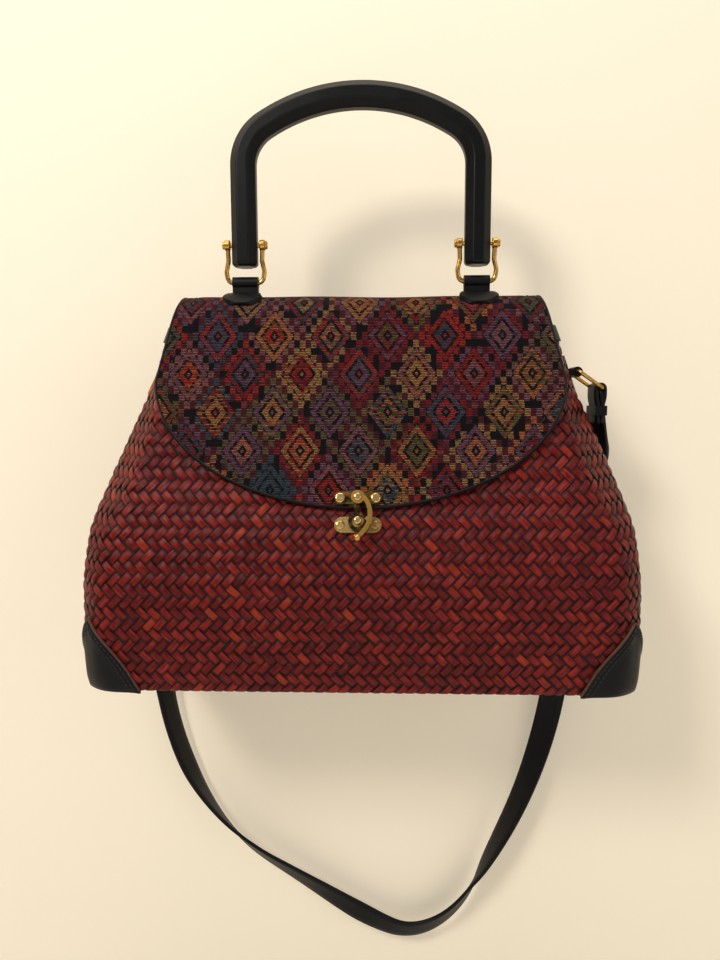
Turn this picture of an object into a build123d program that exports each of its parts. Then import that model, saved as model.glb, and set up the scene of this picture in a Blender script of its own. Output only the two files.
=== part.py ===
"""Woven handbag with a tapestry flap, a D-arch handle and a shoulder strap.

Millimetres, +Z up, +X to the right of the bag and the front facing -Y. The origin is the
hang point: the middle of the underside of the handle's crown.
"""
from build123d import *
from collections import namedtuple
from math import acos, atan2, cos, degrees, hypot, radians, sin, sqrt, tan
import os

os.makedirs("parts", exist_ok=True)

# Handle: one arch of polished horn-black wood
HANDLE_WIDTH = 15.8
HANDLE_DEPTH = 15.0
HANDLE_FACET = 4.6
LEG_SPACING = 145.0
CROWN_RADIUS = 112.0
SHOULDER_RADIUS = 28.0
HANDLE_DROP = 94.0
FOOT_ROUND = 2.6
PIN_RISE = 13.5

# Shackles: bent brass rod with two eyes, and a pin through the handle's foot
ROD_DIAMETER = 2.9
EYE_SPACING = 22.0
EYE_DIAMETER = 6.6
EYE_LENGTH = 3.6
BOW_HALF_WIDTH = 12.0
BOW_WAIST = 10.6
BOW_DROP = 23.0
BOW_CORNER = 4.0
BOW_WAIST_SHARE = 0.42
BOW_HIP_SHARE = 0.70
BOW_TOE = 1.0
PIN_DIAMETER = 3.0
PIN_CLEARANCE = 0.05
PIN_HEAD_DIAMETER = 5.0
PIN_HEAD_HEIGHT = 1.4

# Handle tabs: leather folded over the bow and spread on the ridge
TAB_LEATHER = 2.2
TAB_CLEARANCE = 0.05
TAB_WIDTH = 16.0
TAB_FLARE = 24.0
TAB_NECK = 8.5
TAB_FRONT_ANGLE = 46.0
TAB_REAR_ANGLE = 62.0

# Bag: levels of the woven body, measured up from its base
BAG_HEIGHT = 236.0
WALL = 3.4
LINING = 1.0
FLOOR = 3.4
BODY_CORNER = 13.0
LINING_CORNER = 9.0
Level = namedtuple("Level", "height panel_width gusset_width panel_depth gusset_depth")
SOLE = Level(0.0, 144.0, 155.0, 53.0, 42.0)
BASE = Level(6.0, 149.0, 161.0, 58.0, 47.0)
FOOT = Level(32.0, 152.0, 165.0, 61.0, 49.0)
HIP = Level(64.0, 152.0, 166.0, 62.0, 48.0)
BELLY = Level(96.0, 146.0, 163.0, 57.0, 42.0)
FOLD = Level(124.0, 132.0, 156.0, 46.0, 22.0)
WAIST = Level(152.0, 124.0, 145.0, 37.0, 13.0)
SHOULDER = Level(181.0, 118.0, 131.0, 29.0, 9.5)
MOUTH = Level(215.0, 113.0, 120.0, 18.0, 8.0)
LEVELS = (SOLE, BASE, FOOT, HIP, BELLY, FOLD, WAIST, SHOULDER, MOUTH)
BINDING = 1.3
BINDING_DEPTH = 8.0

# Flap: tapestry cloth on a black backing, over the ridge
FLAP_CLOTH = 1.5
FLAP_BACKING = 1.9
FLAP_GAP = 1.2
FLAP_TOP_WIDTH = 224.0
FLAP_WIDTH = 232.0
FLAP_CURVE_HEIGHT = 183.0
FLAP_CURVE_DROP = 72.0
FLAP_BORDER = 1.2
FLAP_BEND = 120.0
REAR_SEAT = 0.2
RIDGE_RADIUS = 24.4
HINGE_ANGLE = 52.0
HINGE_SLIT = 0.4
REAR_STRIP_HEIGHT = 166.0

# Corner caps: moulded leather shells on the four lower corners
CAP_LEATHER = 1.8
CAP_RUN = 32.0
CAP_RISE = 46.0
CAP_INSET_X = 4.0
CAP_INSET_Y = 2.0

# Clasp: turning brass lever over a post
CLASP_HEIGHT = 115.0
PLATE_THICKNESS = 1.4
RIVET_SPACING = 20.4
RIVET_DIAMETER = 6.0
RIVET_DOME = 1.2
RIVET_SHANK = 1.1
BOSS_HEIGHT = 1.2
LEVER_THICKNESS = 1.6
LEVER_CLEARANCE = 0.1
LEVER_RING = 3.9
LEVER_ARM = 2.6
KNOB_RADIUS = 2.1
POST_DROP = 13.7
POST_NECK = 1.3
POST_HEAD = 2.3
POST_HEAD_HEIGHT = 1.5
EYE_HOLE = 3.4
EYE_RIM = 5.4
LOWER_PLATE_WIDTH = 27.0
LOWER_PLATE_DEPTH = 9.2
LOWER_BOSS = 4.4
LOWER_SINK = 2.2
LOWER_OFFSET = 1.3
PLATE_MARGIN = 0.7
PLATE_NECK = 4.2
BOSS_MARGIN = 0.6
KNOB_DROP = 9.7
LEVER_LINE = ((1.5, 1.2), (4.6, -1.6), (6.7, -6.5), (7.0, -11.0), (5.8, -16.0), (3.2, -20.0), (0.4, -23.0))
LEVER_BARB = ((6.2, -10.4), (3.9, -12.7), (6.0, -14.4))

# Side tabs and strap rings
SIDE_LEATHER = 2.0
SIDE_TAB_WIDTH = 13.0
RING_ROD = 2.4
RING_INNER_WIDTH = 20.0
RING_INNER_LENGTH = 15.0
RING_CLEARANCE = 0.05
RING_CORNER = 1.8
RING_HEIGHT = 188.0
RING_REACH = 7.0
RIGHT_TILT = 35.0
LEFT_TILT = 50.0
GUSSET_LEAN = 0.35
SIDE_TAB_DROP = 14.0
SIDE_TAB_LIFT = 10.0
RIGHT_AZIMUTH = 0.0
LEFT_AZIMUTH = 144.0

# Shoulder strap
STRAP_WIDTH = 18.0
STRAP_THICKNESS = 2.4
STRAP_PLANE = 66.5
KEEPER_LEATHER = 1.2
KEEPER_HEIGHT = 6.0
KEEPER_DROP = 11.0
FOLD_LENGTH = 22.0

# Heights that follow from the chain of pieces under the hang point
PIN_Z = PIN_RISE - HANDLE_DROP
BOW_Z = PIN_Z - BOW_DROP
RIDGE_Z = BOW_Z - TAB_NECK
BASE_Z = RIDGE_Z - BAG_HEIGHT
RIDGE_CENTRE_Z = RIDGE_Z - RIDGE_RADIUS
FLAP_THICKNESS = FLAP_CLOTH + FLAP_BACKING
LEG_X = LEG_SPACING / 2
FLOOR_SHARE = 1 - FLOOR / MOUTH.height
LINING_SHARE = 1 - (FLOOR + LINING) / MOUTH.height

# Handle: legs, two shoulder arcs and a wide crown arc, all tangent
CROWN_Z = HANDLE_WIDTH / 2 - CROWN_RADIUS
SHOULDER_X = LEG_X - SHOULDER_RADIUS
SHOULDER_RISE = sqrt((CROWN_RADIUS - SHOULDER_RADIUS) ** 2 - SHOULDER_X**2)
SHOULDER_Z = CROWN_Z + SHOULDER_RISE
SHOULDER_TURN = degrees(atan2(SHOULDER_RISE, SHOULDER_X))

with BuildPart() as handle:
    with BuildLine(Plane.XZ) as arch:
        Line((-LEG_X, -HANDLE_DROP), (-LEG_X, SHOULDER_Z))
        CenterArc((-SHOULDER_X, SHOULDER_Z), SHOULDER_RADIUS, 180, -SHOULDER_TURN)
        CenterArc((0, CROWN_Z), CROWN_RADIUS, 180 - SHOULDER_TURN, 2 * SHOULDER_TURN - 180)
        CenterArc((SHOULDER_X, SHOULDER_Z), SHOULDER_RADIUS, SHOULDER_TURN, -SHOULDER_TURN)
        Line((LEG_X, SHOULDER_Z), (LEG_X, -HANDLE_DROP))
    with BuildSketch(Plane.XY.offset(-HANDLE_DROP)) as section:
        with Locations((-LEG_X, 0)):
            Rectangle(HANDLE_WIDTH, HANDLE_DEPTH)
        chamfer(section.vertices(), HANDLE_FACET)
        fillet(section.vertices(), HANDLE_FACET / 3)
    sweep(path=arch.wire())
    fillet(handle.edges().group_by(Axis.Z)[0], FOOT_ROUND)
    with Locations(Location((0, 0, PIN_Z), (0, 90, 0))):
        Cylinder(PIN_DIAMETER / 2 + PIN_CLEARANCE, LEG_SPACING + 2 * HANDLE_WIDTH, mode=Mode.SUBTRACT)
handle.part.label = "handle"
export_step(handle.part, "parts/handle.step")

# Shackles
with BuildPart() as left_shackle:
    with BuildLine(Plane.XZ) as bow:
        FilletPolyline(
            (-LEG_X - EYE_SPACING / 2, PIN_Z),
            (-LEG_X - BOW_WAIST, PIN_Z - BOW_DROP * BOW_WAIST_SHARE),
            (-LEG_X - BOW_HALF_WIDTH, PIN_Z - BOW_DROP * BOW_HIP_SHARE),
            (-LEG_X - BOW_HALF_WIDTH + BOW_TOE, BOW_Z),
            (-LEG_X + BOW_HALF_WIDTH - BOW_TOE, BOW_Z),
            (-LEG_X + BOW_HALF_WIDTH, PIN_Z - BOW_DROP * BOW_HIP_SHARE),
            (-LEG_X + BOW_WAIST, PIN_Z - BOW_DROP * BOW_WAIST_SHARE),
            (-LEG_X + EYE_SPACING / 2, PIN_Z),
            radius=BOW_CORNER,
        )
    with BuildSketch(Plane(bow.line @ 0, z_dir=bow.line % 0)):
        Circle(ROD_DIAMETER / 2)
    sweep(path=bow.wire())
    for side in (-1, 1):
        with Locations(Location((-LEG_X + side * EYE_SPACING / 2, 0, PIN_Z), (0, 90, 0))):
            Cylinder(EYE_DIAMETER / 2, EYE_LENGTH)
    fillet(left_shackle.edges().filter_by(GeomType.CIRCLE).group_by(Axis.Z)[-1], EYE_LENGTH / 5)
    with Locations(Location((-LEG_X, 0, PIN_Z), (0, 90, 0))):
        Cylinder(PIN_DIAMETER / 2, EYE_SPACING + 4 * EYE_LENGTH, mode=Mode.SUBTRACT)
left_shackle.part.label = "left_shackle"
export_step(left_shackle.part, "parts/left_shackle.step")

with BuildPart() as right_shackle:
    add(left_shackle.part.moved(Location((LEG_SPACING, 0, 0))))
right_shackle.part.label = "right_shackle"
export_step(right_shackle.part, "parts/right_shackle.step")

PIN_SPAN = EYE_SPACING + EYE_LENGTH
with BuildPart() as left_shackle_pin:
    with Locations(Location((-LEG_X, 0, PIN_Z), (0, 90, 0))):
        Cylinder(PIN_DIAMETER / 2, PIN_SPAN)
    for side in (-1, 1):
        head_x = -LEG_X + side * (PIN_SPAN + PIN_HEAD_HEIGHT) / 2
        with Locations(Location((head_x, 0, PIN_Z), (0, 90, 0))):
            Cylinder(PIN_HEAD_DIAMETER / 2, PIN_HEAD_HEIGHT)
    fillet(left_shackle_pin.edges().group_by(Axis.X)[0], PIN_HEAD_HEIGHT * 0.6)
    fillet(left_shackle_pin.edges().group_by(Axis.X)[-1], PIN_HEAD_HEIGHT * 0.6)
left_shackle_pin.part.label = "left_shackle_pin"
export_step(left_shackle_pin.part, "parts/left_shackle_pin.step")

with BuildPart() as right_shackle_pin:
    add(left_shackle_pin.part.moved(Location((LEG_SPACING, 0, 0))))
right_shackle_pin.part.label = "right_shackle_pin"
export_step(right_shackle_pin.part, "parts/right_shackle_pin.step")


def outline(level, grow=0.0):
    """Corners of one level of the bag, moved outward by grow."""
    return (
        (level.panel_width + grow / 2, level.panel_depth + grow),
        (level.gusset_width + grow, level.gusset_depth + grow / 2),
        (level.gusset_width + grow, -level.gusset_depth - grow / 2),
        (level.panel_width + grow / 2, -level.panel_depth - grow),
        (-level.panel_width - grow / 2, -level.panel_depth - grow),
        (-level.gusset_width - grow, -level.gusset_depth - grow / 2),
        (-level.gusset_width - grow, level.gusset_depth + grow / 2),
        (-level.panel_width - grow / 2, level.panel_depth + grow),
    )


# Outer form of the bag, kept to seat other pieces on it
with BuildPart() as bag_form:
    for level in LEVELS:
        with BuildSketch(Plane.XY.offset(BASE_Z + level.height)) as ring:
            with BuildLine():
                Polyline(*outline(level), close=True)
            make_face()
            fillet(ring.vertices(), BODY_CORNER)
    loft(ruled=True)

# Room inside the woven wall, and the room inside its lining
with BuildPart() as wall_room:
    for level in LEVELS:
        with BuildSketch(Plane.XY.offset(BASE_Z + FLOOR + level.height * FLOOR_SHARE)) as ring:
            with BuildLine():
                Polyline(*outline(level, -WALL), close=True)
            make_face()
            fillet(ring.vertices(), LINING_CORNER)
    loft(ruled=True)

with BuildPart() as lining_room:
    for level in LEVELS:
        with BuildSketch(Plane.XY.offset(BASE_Z + FLOOR + LINING + level.height * LINING_SHARE)) as ring:
            with BuildLine():
                Polyline(*outline(level, -WALL - LINING), close=True)
            make_face()
            fillet(ring.vertices(), LINING_CORNER - LINING)
    loft(ruled=True)

with BuildPart() as woven_body:
    add(bag_form.part)
    add(wall_room.part, mode=Mode.SUBTRACT)
woven_body.part.label = "woven_body"
export_step(woven_body.part, "parts/woven_body.step")

with BuildPart() as lining:
    add(wall_room.part)
    add(lining_room.part, mode=Mode.SUBTRACT)
lining.part.label = "lining"
export_step(lining.part, "parts/lining.step")

# Flap: one side profile that runs over the ridge and along the panels
HINGE_RADIUS = RIDGE_RADIUS - FLAP_THICKNESS / 2
FRONT_STANDOFF = FLAP_GAP + FLAP_THICKNESS / 2
REAR_STANDOFF = FLAP_THICKNESS / 2 - REAR_SEAT
SLIT_ANGLE = degrees(HINGE_SLIT / RIDGE_RADIUS)
HINGE_Y = -RIDGE_RADIUS * sin(radians(HINGE_ANGLE))
HINGE_Z = RIDGE_CENTRE_Z + RIDGE_RADIUS * cos(radians(HINGE_ANGLE))


def leave_angle(depth, height):
    """Angle from the ridge's top at which the profile leaves it towards a point of a panel."""
    drop = RIDGE_CENTRE_Z - BASE_Z - height
    return 90 + degrees(atan2(drop, depth) - acos(HINGE_RADIUS / hypot(depth, drop)))


def ridge_point(angle):
    """Point of the ridge's middle line in the YZ plane, angle from the top towards the front."""
    return (-HINGE_RADIUS * sin(radians(angle)), RIDGE_CENTRE_Z + HINGE_RADIUS * cos(radians(angle)))


def flap_layer(first_angle, side, standoff, levels, shift, thickness):
    """Full-width layer of the flap from an angle on the ridge down one panel."""
    leave = side * leave_angle(levels[0].panel_depth + standoff, levels[0].height)
    with BuildPart() as layer:
        with BuildSketch(Plane.YZ):
            with BuildLine() as run:
                CenterArc((0, RIDGE_CENTRE_Z), HINGE_RADIUS, 90 + first_angle, leave - first_angle)
                FilletPolyline(
                    ridge_point(leave),
                    *[(-side * (level.panel_depth + standoff), BASE_Z + level.height) for level in levels],
                    radius=FLAP_BEND,
                )
                if shift:
                    side_out = shift_side(shift)
                    offset(run.wire(), amount=abs(shift), side=side_out, closed=False, mode=Mode.REPLACE)
            trace(line_width=thickness)
        extrude(amount=FLAP_WIDTH / 2, both=True)
    return layer.part


def shift_side(shift):
    """Side of the front profile that lies outward for a positive shift."""
    return Side.RIGHT if shift > 0 else Side.LEFT


def flap_outline(border):
    """Front view of the moving flap: straight sides and a half ellipse, kept inside by a border."""
    with BuildPart() as form:
        with BuildSketch(Plane.XZ):
            with BuildLine():
                start = (-FLAP_TOP_WIDTH / 2 + border, RIDGE_Z)
                left = (-FLAP_WIDTH / 2 + border, BASE_Z + FLAP_CURVE_HEIGHT)
                right = (FLAP_WIDTH / 2 - border, BASE_Z + FLAP_CURVE_HEIGHT)
                end = (FLAP_TOP_WIDTH / 2 - border, RIDGE_Z)
                Polyline(left, start, end, right)
                EllipticalCenterArc(
                    (0, BASE_Z + FLAP_CURVE_HEIGHT),
                    FLAP_WIDTH / 2 - border,
                    FLAP_CURVE_DROP - border,
                    180,
                    arc_size=180,
                )
            make_face()
        extrude(amount=BAG_HEIGHT)
    return form.part


FRONT_LEVELS = (SHOULDER, WAIST, FOLD, BELLY)
REAR_LEVELS = (SHOULDER, WAIST, FOLD)
FRONT_START = HINGE_ANGLE + SLIT_ANGLE

# Clasp plane: on the flap's outer face, x to the right, y up the panel, z outward
PANEL_LEAN = atan2(BELLY.panel_depth - FOLD.panel_depth, FOLD.height - BELLY.height)
CLASP_DEPTH = (
    FOLD.panel_depth
    + (FOLD.height - CLASP_HEIGHT) * tan(PANEL_LEAN)
    + FRONT_STANDOFF
    + FLAP_THICKNESS / 2 / cos(PANEL_LEAN)
)
CLASP = Plane(
    origin=(0, -CLASP_DEPTH, BASE_Z + CLASP_HEIGHT),
    x_dir=(1, 0, 0),
    z_dir=(0, -cos(PANEL_LEAN), sin(PANEL_LEAN)),
)
LEVER_BASE = PLATE_THICKNESS + BOSS_HEIGHT + LEVER_CLEARANCE
LEVER_TOP = LEVER_BASE + LEVER_THICKNESS
LOWER_TOP = -LOWER_SINK
BOSS_TOP = -LEVER_CLEARANCE

with BuildPart() as clasp_upper_rivets:
    with BuildSketch(CLASP.offset(-FLAP_THICKNESS)):
        with Locations((-RIVET_SPACING / 2, 0), (RIVET_SPACING / 2, 0)):
            Circle(RIVET_SHANK)
    extrude(amount=FLAP_THICKNESS + PLATE_THICKNESS)
    with BuildSketch(CLASP.offset(PLATE_THICKNESS)):
        with Locations((-RIVET_SPACING / 2, 0), (RIVET_SPACING / 2, 0)):
            Circle(RIVET_DIAMETER / 2)
    extrude(amount=RIVET_DOME)
    fillet(clasp_upper_rivets.edges().sort_by(Axis(CLASP.origin, CLASP.z_dir))[-2:], RIVET_DOME * 0.9)
clasp_upper_rivets.part.label = "clasp_upper_rivets"
export_step(clasp_upper_rivets.part, "parts/clasp_upper_rivets.step")

with BuildPart() as flap_cloth:
    add(flap_layer(FRONT_START, 1, FRONT_STANDOFF, FRONT_LEVELS, FLAP_BACKING / 2, FLAP_CLOTH))
    add(flap_outline(FLAP_BORDER), mode=Mode.INTERSECT)
    add(clasp_upper_rivets.part, mode=Mode.SUBTRACT)
flap_cloth.part.label = "flap_cloth"
export_step(flap_cloth.part, "parts/flap_cloth.step")

with BuildPart() as flap_backing:
    add(flap_layer(FRONT_START, 1, FRONT_STANDOFF, FRONT_LEVELS, -FLAP_CLOTH / 2, FLAP_BACKING))
    add(flap_outline(0), mode=Mode.INTERSECT)
    add(clasp_upper_rivets.part, mode=Mode.SUBTRACT)
flap_backing.part.label = "flap_backing"
export_step(flap_backing.part, "parts/flap_backing.step")

with BuildPart() as flap_ridge:
    add(flap_layer(HINGE_ANGLE, -1, REAR_STANDOFF, REAR_LEVELS, 0, FLAP_THICKNESS))
    with BuildSketch(Plane.XY.offset(BASE_Z + REAR_STRIP_HEIGHT)):
        Rectangle(FLAP_TOP_WIDTH, BAG_HEIGHT)
    extrude(amount=BAG_HEIGHT, mode=Mode.INTERSECT)
    add(bag_form.part, mode=Mode.SUBTRACT)
flap_ridge.part.label = "flap_ridge"
export_step(flap_ridge.part, "parts/flap_ridge.step")

# Rim binding: leather folded over the mouth of the woven wall and its lining
with BuildPart() as rim_binding:
    for height in (MOUTH.height - BINDING_DEPTH, MOUTH.height + BINDING):
        with BuildSketch(Plane.XY.offset(BASE_Z + height)) as ring:
            with BuildLine():
                Polyline(*outline(MOUTH, (MOUTH.height - height) * GUSSET_LEAN + BINDING), close=True)
            make_face()
            fillet(ring.vertices(), BODY_CORNER)
    loft(ruled=True)
    for height in (MOUTH.height - BINDING_DEPTH, MOUTH.height + BINDING):
        with BuildSketch(Plane.XY.offset(BASE_Z + height)) as ring:
            with BuildLine():
                Polyline(*outline(MOUTH, -WALL - LINING - BINDING), close=True)
            make_face()
            fillet(ring.vertices(), LINING_CORNER - LINING - BINDING)
    loft(ruled=True, mode=Mode.SUBTRACT)
    add(woven_body.part, mode=Mode.SUBTRACT)
    add(lining.part, mode=Mode.SUBTRACT)
rim_binding.part.label = "rim_binding"
export_step(rim_binding.part, "parts/rim_binding.step")

# Handle tabs: loop round the bow, neck, and a saddle over the ridge
LOOP_RADIUS = ROD_DIAMETER / 2 + TAB_CLEARANCE
LOOP_OUTER = LOOP_RADIUS + TAB_LEATHER
with BuildPart() as left_tab:
    with BuildSketch(Plane.YZ.offset(-LEG_X)):
        with BuildLine():
            CenterArc(
                (0, RIDGE_CENTRE_Z),
                RIDGE_RADIUS + TAB_LEATHER / 2,
                90 - TAB_REAR_ANGLE,
                TAB_REAR_ANGLE + TAB_FRONT_ANGLE,
            )
        trace(line_width=TAB_LEATHER)
    extrude(amount=TAB_FLARE / 2, both=True)
    with BuildSketch(Plane.YZ.offset(-LEG_X)):
        with Locations((0, BOW_Z)):
            Circle(LOOP_OUTER)
        with Locations((0, BOW_Z)):
            Rectangle(2 * TAB_LEATHER, TAB_NECK - TAB_LEATHER / 2, align=(Align.CENTER, Align.MAX))
    extrude(amount=TAB_WIDTH / 2, both=True)
    with BuildSketch(Plane.XY.offset(RIDGE_CENTRE_Z)) as plan:
        with BuildLine():
            front = -RIDGE_RADIUS - TAB_LEATHER
            nose = (RIDGE_RADIUS + TAB_LEATHER) * sin(radians(TAB_FRONT_ANGLE))
            Polyline(
                (-LEG_X - TAB_FLARE / 2, -nose + TAB_FLARE / 4),
                (-LEG_X - TAB_WIDTH / 2, 0),
                (-LEG_X - TAB_FLARE / 2, -front),
                (-LEG_X + TAB_FLARE / 2, -front),
                (-LEG_X + TAB_WIDTH / 2, 0),
                (-LEG_X + TAB_FLARE / 2, -nose + TAB_FLARE / 4),
            )
            ThreePointArc(
                (-LEG_X + TAB_FLARE / 2, -nose + TAB_FLARE / 4),
                (-LEG_X, -nose),
                (-LEG_X - TAB_FLARE / 2, -nose + TAB_FLARE / 4),
            )
        make_face()
    extrude(amount=BAG_HEIGHT, mode=Mode.INTERSECT)
    with Locations(Location((-LEG_X, 0, BOW_Z), (0, 90, 0))):
        Cylinder(LOOP_RADIUS, TAB_FLARE, mode=Mode.SUBTRACT)
left_tab.part.label = "left_tab"
export_step(left_tab.part, "parts/left_tab.step")

with BuildPart() as right_tab:
    add(left_tab.part.moved(Location((LEG_SPACING, 0, 0))))
right_tab.part.label = "right_tab"
export_step(right_tab.part, "parts/right_tab.step")

# Corner caps
CAP_LEVELS = (SOLE, BASE, FOOT, HIP)
CAP_CENTRE_X = CAP_INSET_X - (FOOT.panel_width + FOOT.gusset_width) / 2
CAP_CENTRE_Y = -FOOT.gusset_depth - CAP_INSET_Y
with BuildPart() as corner_front_left:
    for level in CAP_LEVELS:
        drop = CAP_LEATHER if level is SOLE else 0
        with BuildSketch(Plane.XY.offset(BASE_Z + level.height - drop)) as ring:
            with BuildLine():
                Polyline(*outline(level, CAP_LEATHER), close=True)
            make_face()
            fillet(ring.vertices(), BODY_CORNER + CAP_LEATHER)
    loft(ruled=True)
    with BuildSketch(Plane.XZ.offset(-CAP_CENTRE_Y)):
        with Locations((CAP_CENTRE_X, BASE_Z)):
            Ellipse(CAP_RUN, CAP_RISE)
    extrude(amount=CAP_RUN, both=True, mode=Mode.INTERSECT)
    with BuildSketch(Plane.YZ.offset(CAP_CENTRE_X)):
        with Locations((CAP_CENTRE_Y, BASE_Z)):
            Ellipse(CAP_RUN, CAP_RISE)
    extrude(amount=CAP_RUN, both=True, mode=Mode.INTERSECT)
    add(bag_form.part, mode=Mode.SUBTRACT)
corner_front_left.part.label = "corner_front_left"
export_step(corner_front_left.part, "parts/corner_front_left.step")

with BuildPart() as corner_front_right:
    add(mirror(corner_front_left.part, about=Plane.YZ, mode=Mode.PRIVATE))
corner_front_right.part.label = "corner_front_right"
export_step(corner_front_right.part, "parts/corner_front_right.step")

with BuildPart() as corner_rear_left:
    add(mirror(corner_front_left.part, about=Plane.XZ, mode=Mode.PRIVATE))
corner_rear_left.part.label = "corner_rear_left"
export_step(corner_rear_left.part, "parts/corner_rear_left.step")

with BuildPart() as corner_rear_right:
    add(mirror(corner_rear_left.part, about=Plane.YZ, mode=Mode.PRIVATE))
corner_rear_right.part.label = "corner_rear_right"
export_step(corner_rear_right.part, "parts/corner_rear_right.step")

# Clasp
with BuildPart() as clasp_pivot_rivet:
    with BuildSketch(CLASP):
        Circle(RIVET_SHANK)
    extrude(amount=LEVER_TOP + LEVER_CLEARANCE / 2)
    with BuildSketch(CLASP.offset(LEVER_TOP + LEVER_CLEARANCE / 2)):
        Circle(POST_HEAD)
    extrude(amount=RIVET_DOME)
    fillet(clasp_pivot_rivet.edges().sort_by(Axis(CLASP.origin, CLASP.z_dir))[-1], RIVET_DOME * 0.9)
clasp_pivot_rivet.part.label = "clasp_pivot_rivet"
export_step(clasp_pivot_rivet.part, "parts/clasp_pivot_rivet.step")

with BuildPart() as clasp_upper_plate:
    with BuildSketch(CLASP) as face:
        SlotCenterToCenter(RIVET_SPACING, RIVET_DIAMETER + 2 * PLATE_MARGIN)
        Circle(LEVER_RING + PLATE_MARGIN)
        Rectangle(PLATE_NECK, POST_DROP, align=(Align.CENTER, Align.MAX))
        with Locations((0, -POST_DROP)):
            Circle(EYE_RIM)
            Circle(EYE_HOLE, mode=Mode.SUBTRACT)
    extrude(amount=PLATE_THICKNESS)
    with BuildSketch(CLASP.offset(PLATE_THICKNESS)):
        Circle(LEVER_RING - BOSS_MARGIN)
    extrude(amount=BOSS_HEIGHT)
    add(clasp_pivot_rivet.part, mode=Mode.SUBTRACT)
    add(clasp_upper_rivets.part, mode=Mode.SUBTRACT)
clasp_upper_plate.part.label = "clasp_upper_plate"
export_step(clasp_upper_plate.part, "parts/clasp_upper_plate.step")

with BuildPart() as clasp_lever:
    with BuildSketch(CLASP.offset(LEVER_BASE)) as face:
        with BuildLine() as arm:
            Spline(*LEVER_LINE)
        trace(line_width=LEVER_ARM)
        Circle(LEVER_RING)
        with BuildLine():
            Polyline(*LEVER_BARB, close=True)
        make_face()
        Circle(RIVET_SHANK + PIN_CLEARANCE, mode=Mode.SUBTRACT)
    extrude(amount=LEVER_THICKNESS)
    with Locations(CLASP.offset(LEVER_BASE + LEVER_THICKNESS / 2)):
        with Locations((0, -POST_DROP - KNOB_DROP)):
            Sphere(KNOB_RADIUS)
clasp_lever.part.label = "clasp_lever"
export_step(clasp_lever.part, "parts/clasp_lever.step")

LOWER_CENTRE = -POST_DROP - LOWER_OFFSET
with BuildPart() as clasp_lower_rivets:
    with BuildSketch(CLASP.offset(-2 * FLAP_THICKNESS)):
        with Locations((-RIVET_SPACING / 2, LOWER_CENTRE), (RIVET_SPACING / 2, LOWER_CENTRE)):
            Circle(RIVET_SHANK)
    extrude(amount=2 * FLAP_THICKNESS + LOWER_TOP)
    with BuildSketch(CLASP.offset(LOWER_TOP)):
        with Locations((-RIVET_SPACING / 2, LOWER_CENTRE), (RIVET_SPACING / 2, LOWER_CENTRE)):
            Circle(RIVET_DIAMETER / 2 - 0.4)
    extrude(amount=RIVET_DOME)
    fillet(clasp_lower_rivets.edges().sort_by(Axis(CLASP.origin, CLASP.z_dir))[-2:], RIVET_DOME * 0.9)
    add(bag_form.part, mode=Mode.SUBTRACT)
clasp_lower_rivets.part.label = "clasp_lower_rivets"
export_step(clasp_lower_rivets.part, "parts/clasp_lower_rivets.step")

with BuildPart() as clasp_lower_plate:
    with BuildSketch(CLASP.offset(-2 * FLAP_THICKNESS)):
        with Locations((0, LOWER_CENTRE)):
            SlotOverall(LOWER_PLATE_WIDTH, LOWER_PLATE_DEPTH)
    extrude(amount=2 * FLAP_THICKNESS + LOWER_TOP)
    with BuildSketch(CLASP.offset(LOWER_TOP)):
        with Locations((0, -POST_DROP)):
            Circle(LOWER_BOSS)
    extrude(amount=BOSS_TOP - LOWER_TOP)
    add(bag_form.part, mode=Mode.SUBTRACT)
    add(clasp_lower_rivets.part, mode=Mode.SUBTRACT)
clasp_lower_plate.part.label = "clasp_lower_plate"
export_step(clasp_lower_plate.part, "parts/clasp_lower_plate.step")

with BuildPart() as clasp_post:
    with BuildSketch(CLASP.offset(BOSS_TOP)):
        with Locations((0, -POST_DROP)):
            Circle(POST_NECK)
    extrude(amount=LEVER_TOP + LEVER_CLEARANCE - BOSS_TOP)
    with BuildSketch(CLASP.offset(LEVER_TOP + LEVER_CLEARANCE)):
        with Locations((0, -POST_DROP)):
            Circle(POST_HEAD)
    extrude(amount=POST_HEAD_HEIGHT)
    fillet(clasp_post.edges().sort_by(Axis(CLASP.origin, CLASP.z_dir))[-1], POST_HEAD_HEIGHT * 0.7)
clasp_post.part.label = "clasp_post"
export_step(clasp_post.part, "parts/clasp_post.step")

# Side tabs, rings and the folded strap ends share one seat plane a side:
# x outward from the gusset, y up, z along the ring's inner bar
RING_LENGTH = RING_INNER_LENGTH + RING_ROD
RIGHT_BAR = (135.0, 0.0)
LEFT_BAR = (-127.7, 21.8)


def seat_plane(bar, azimuth):
    """Upright plane through the middle of a ring's inner bar, x pointing outward."""
    outward = (cos(radians(azimuth)), sin(radians(azimuth)), 0)
    return Plane(
        origin=(bar[0], bar[1], BASE_Z + RING_HEIGHT),
        x_dir=outward,
        z_dir=(outward[1], -outward[0], 0),
    )


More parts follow.
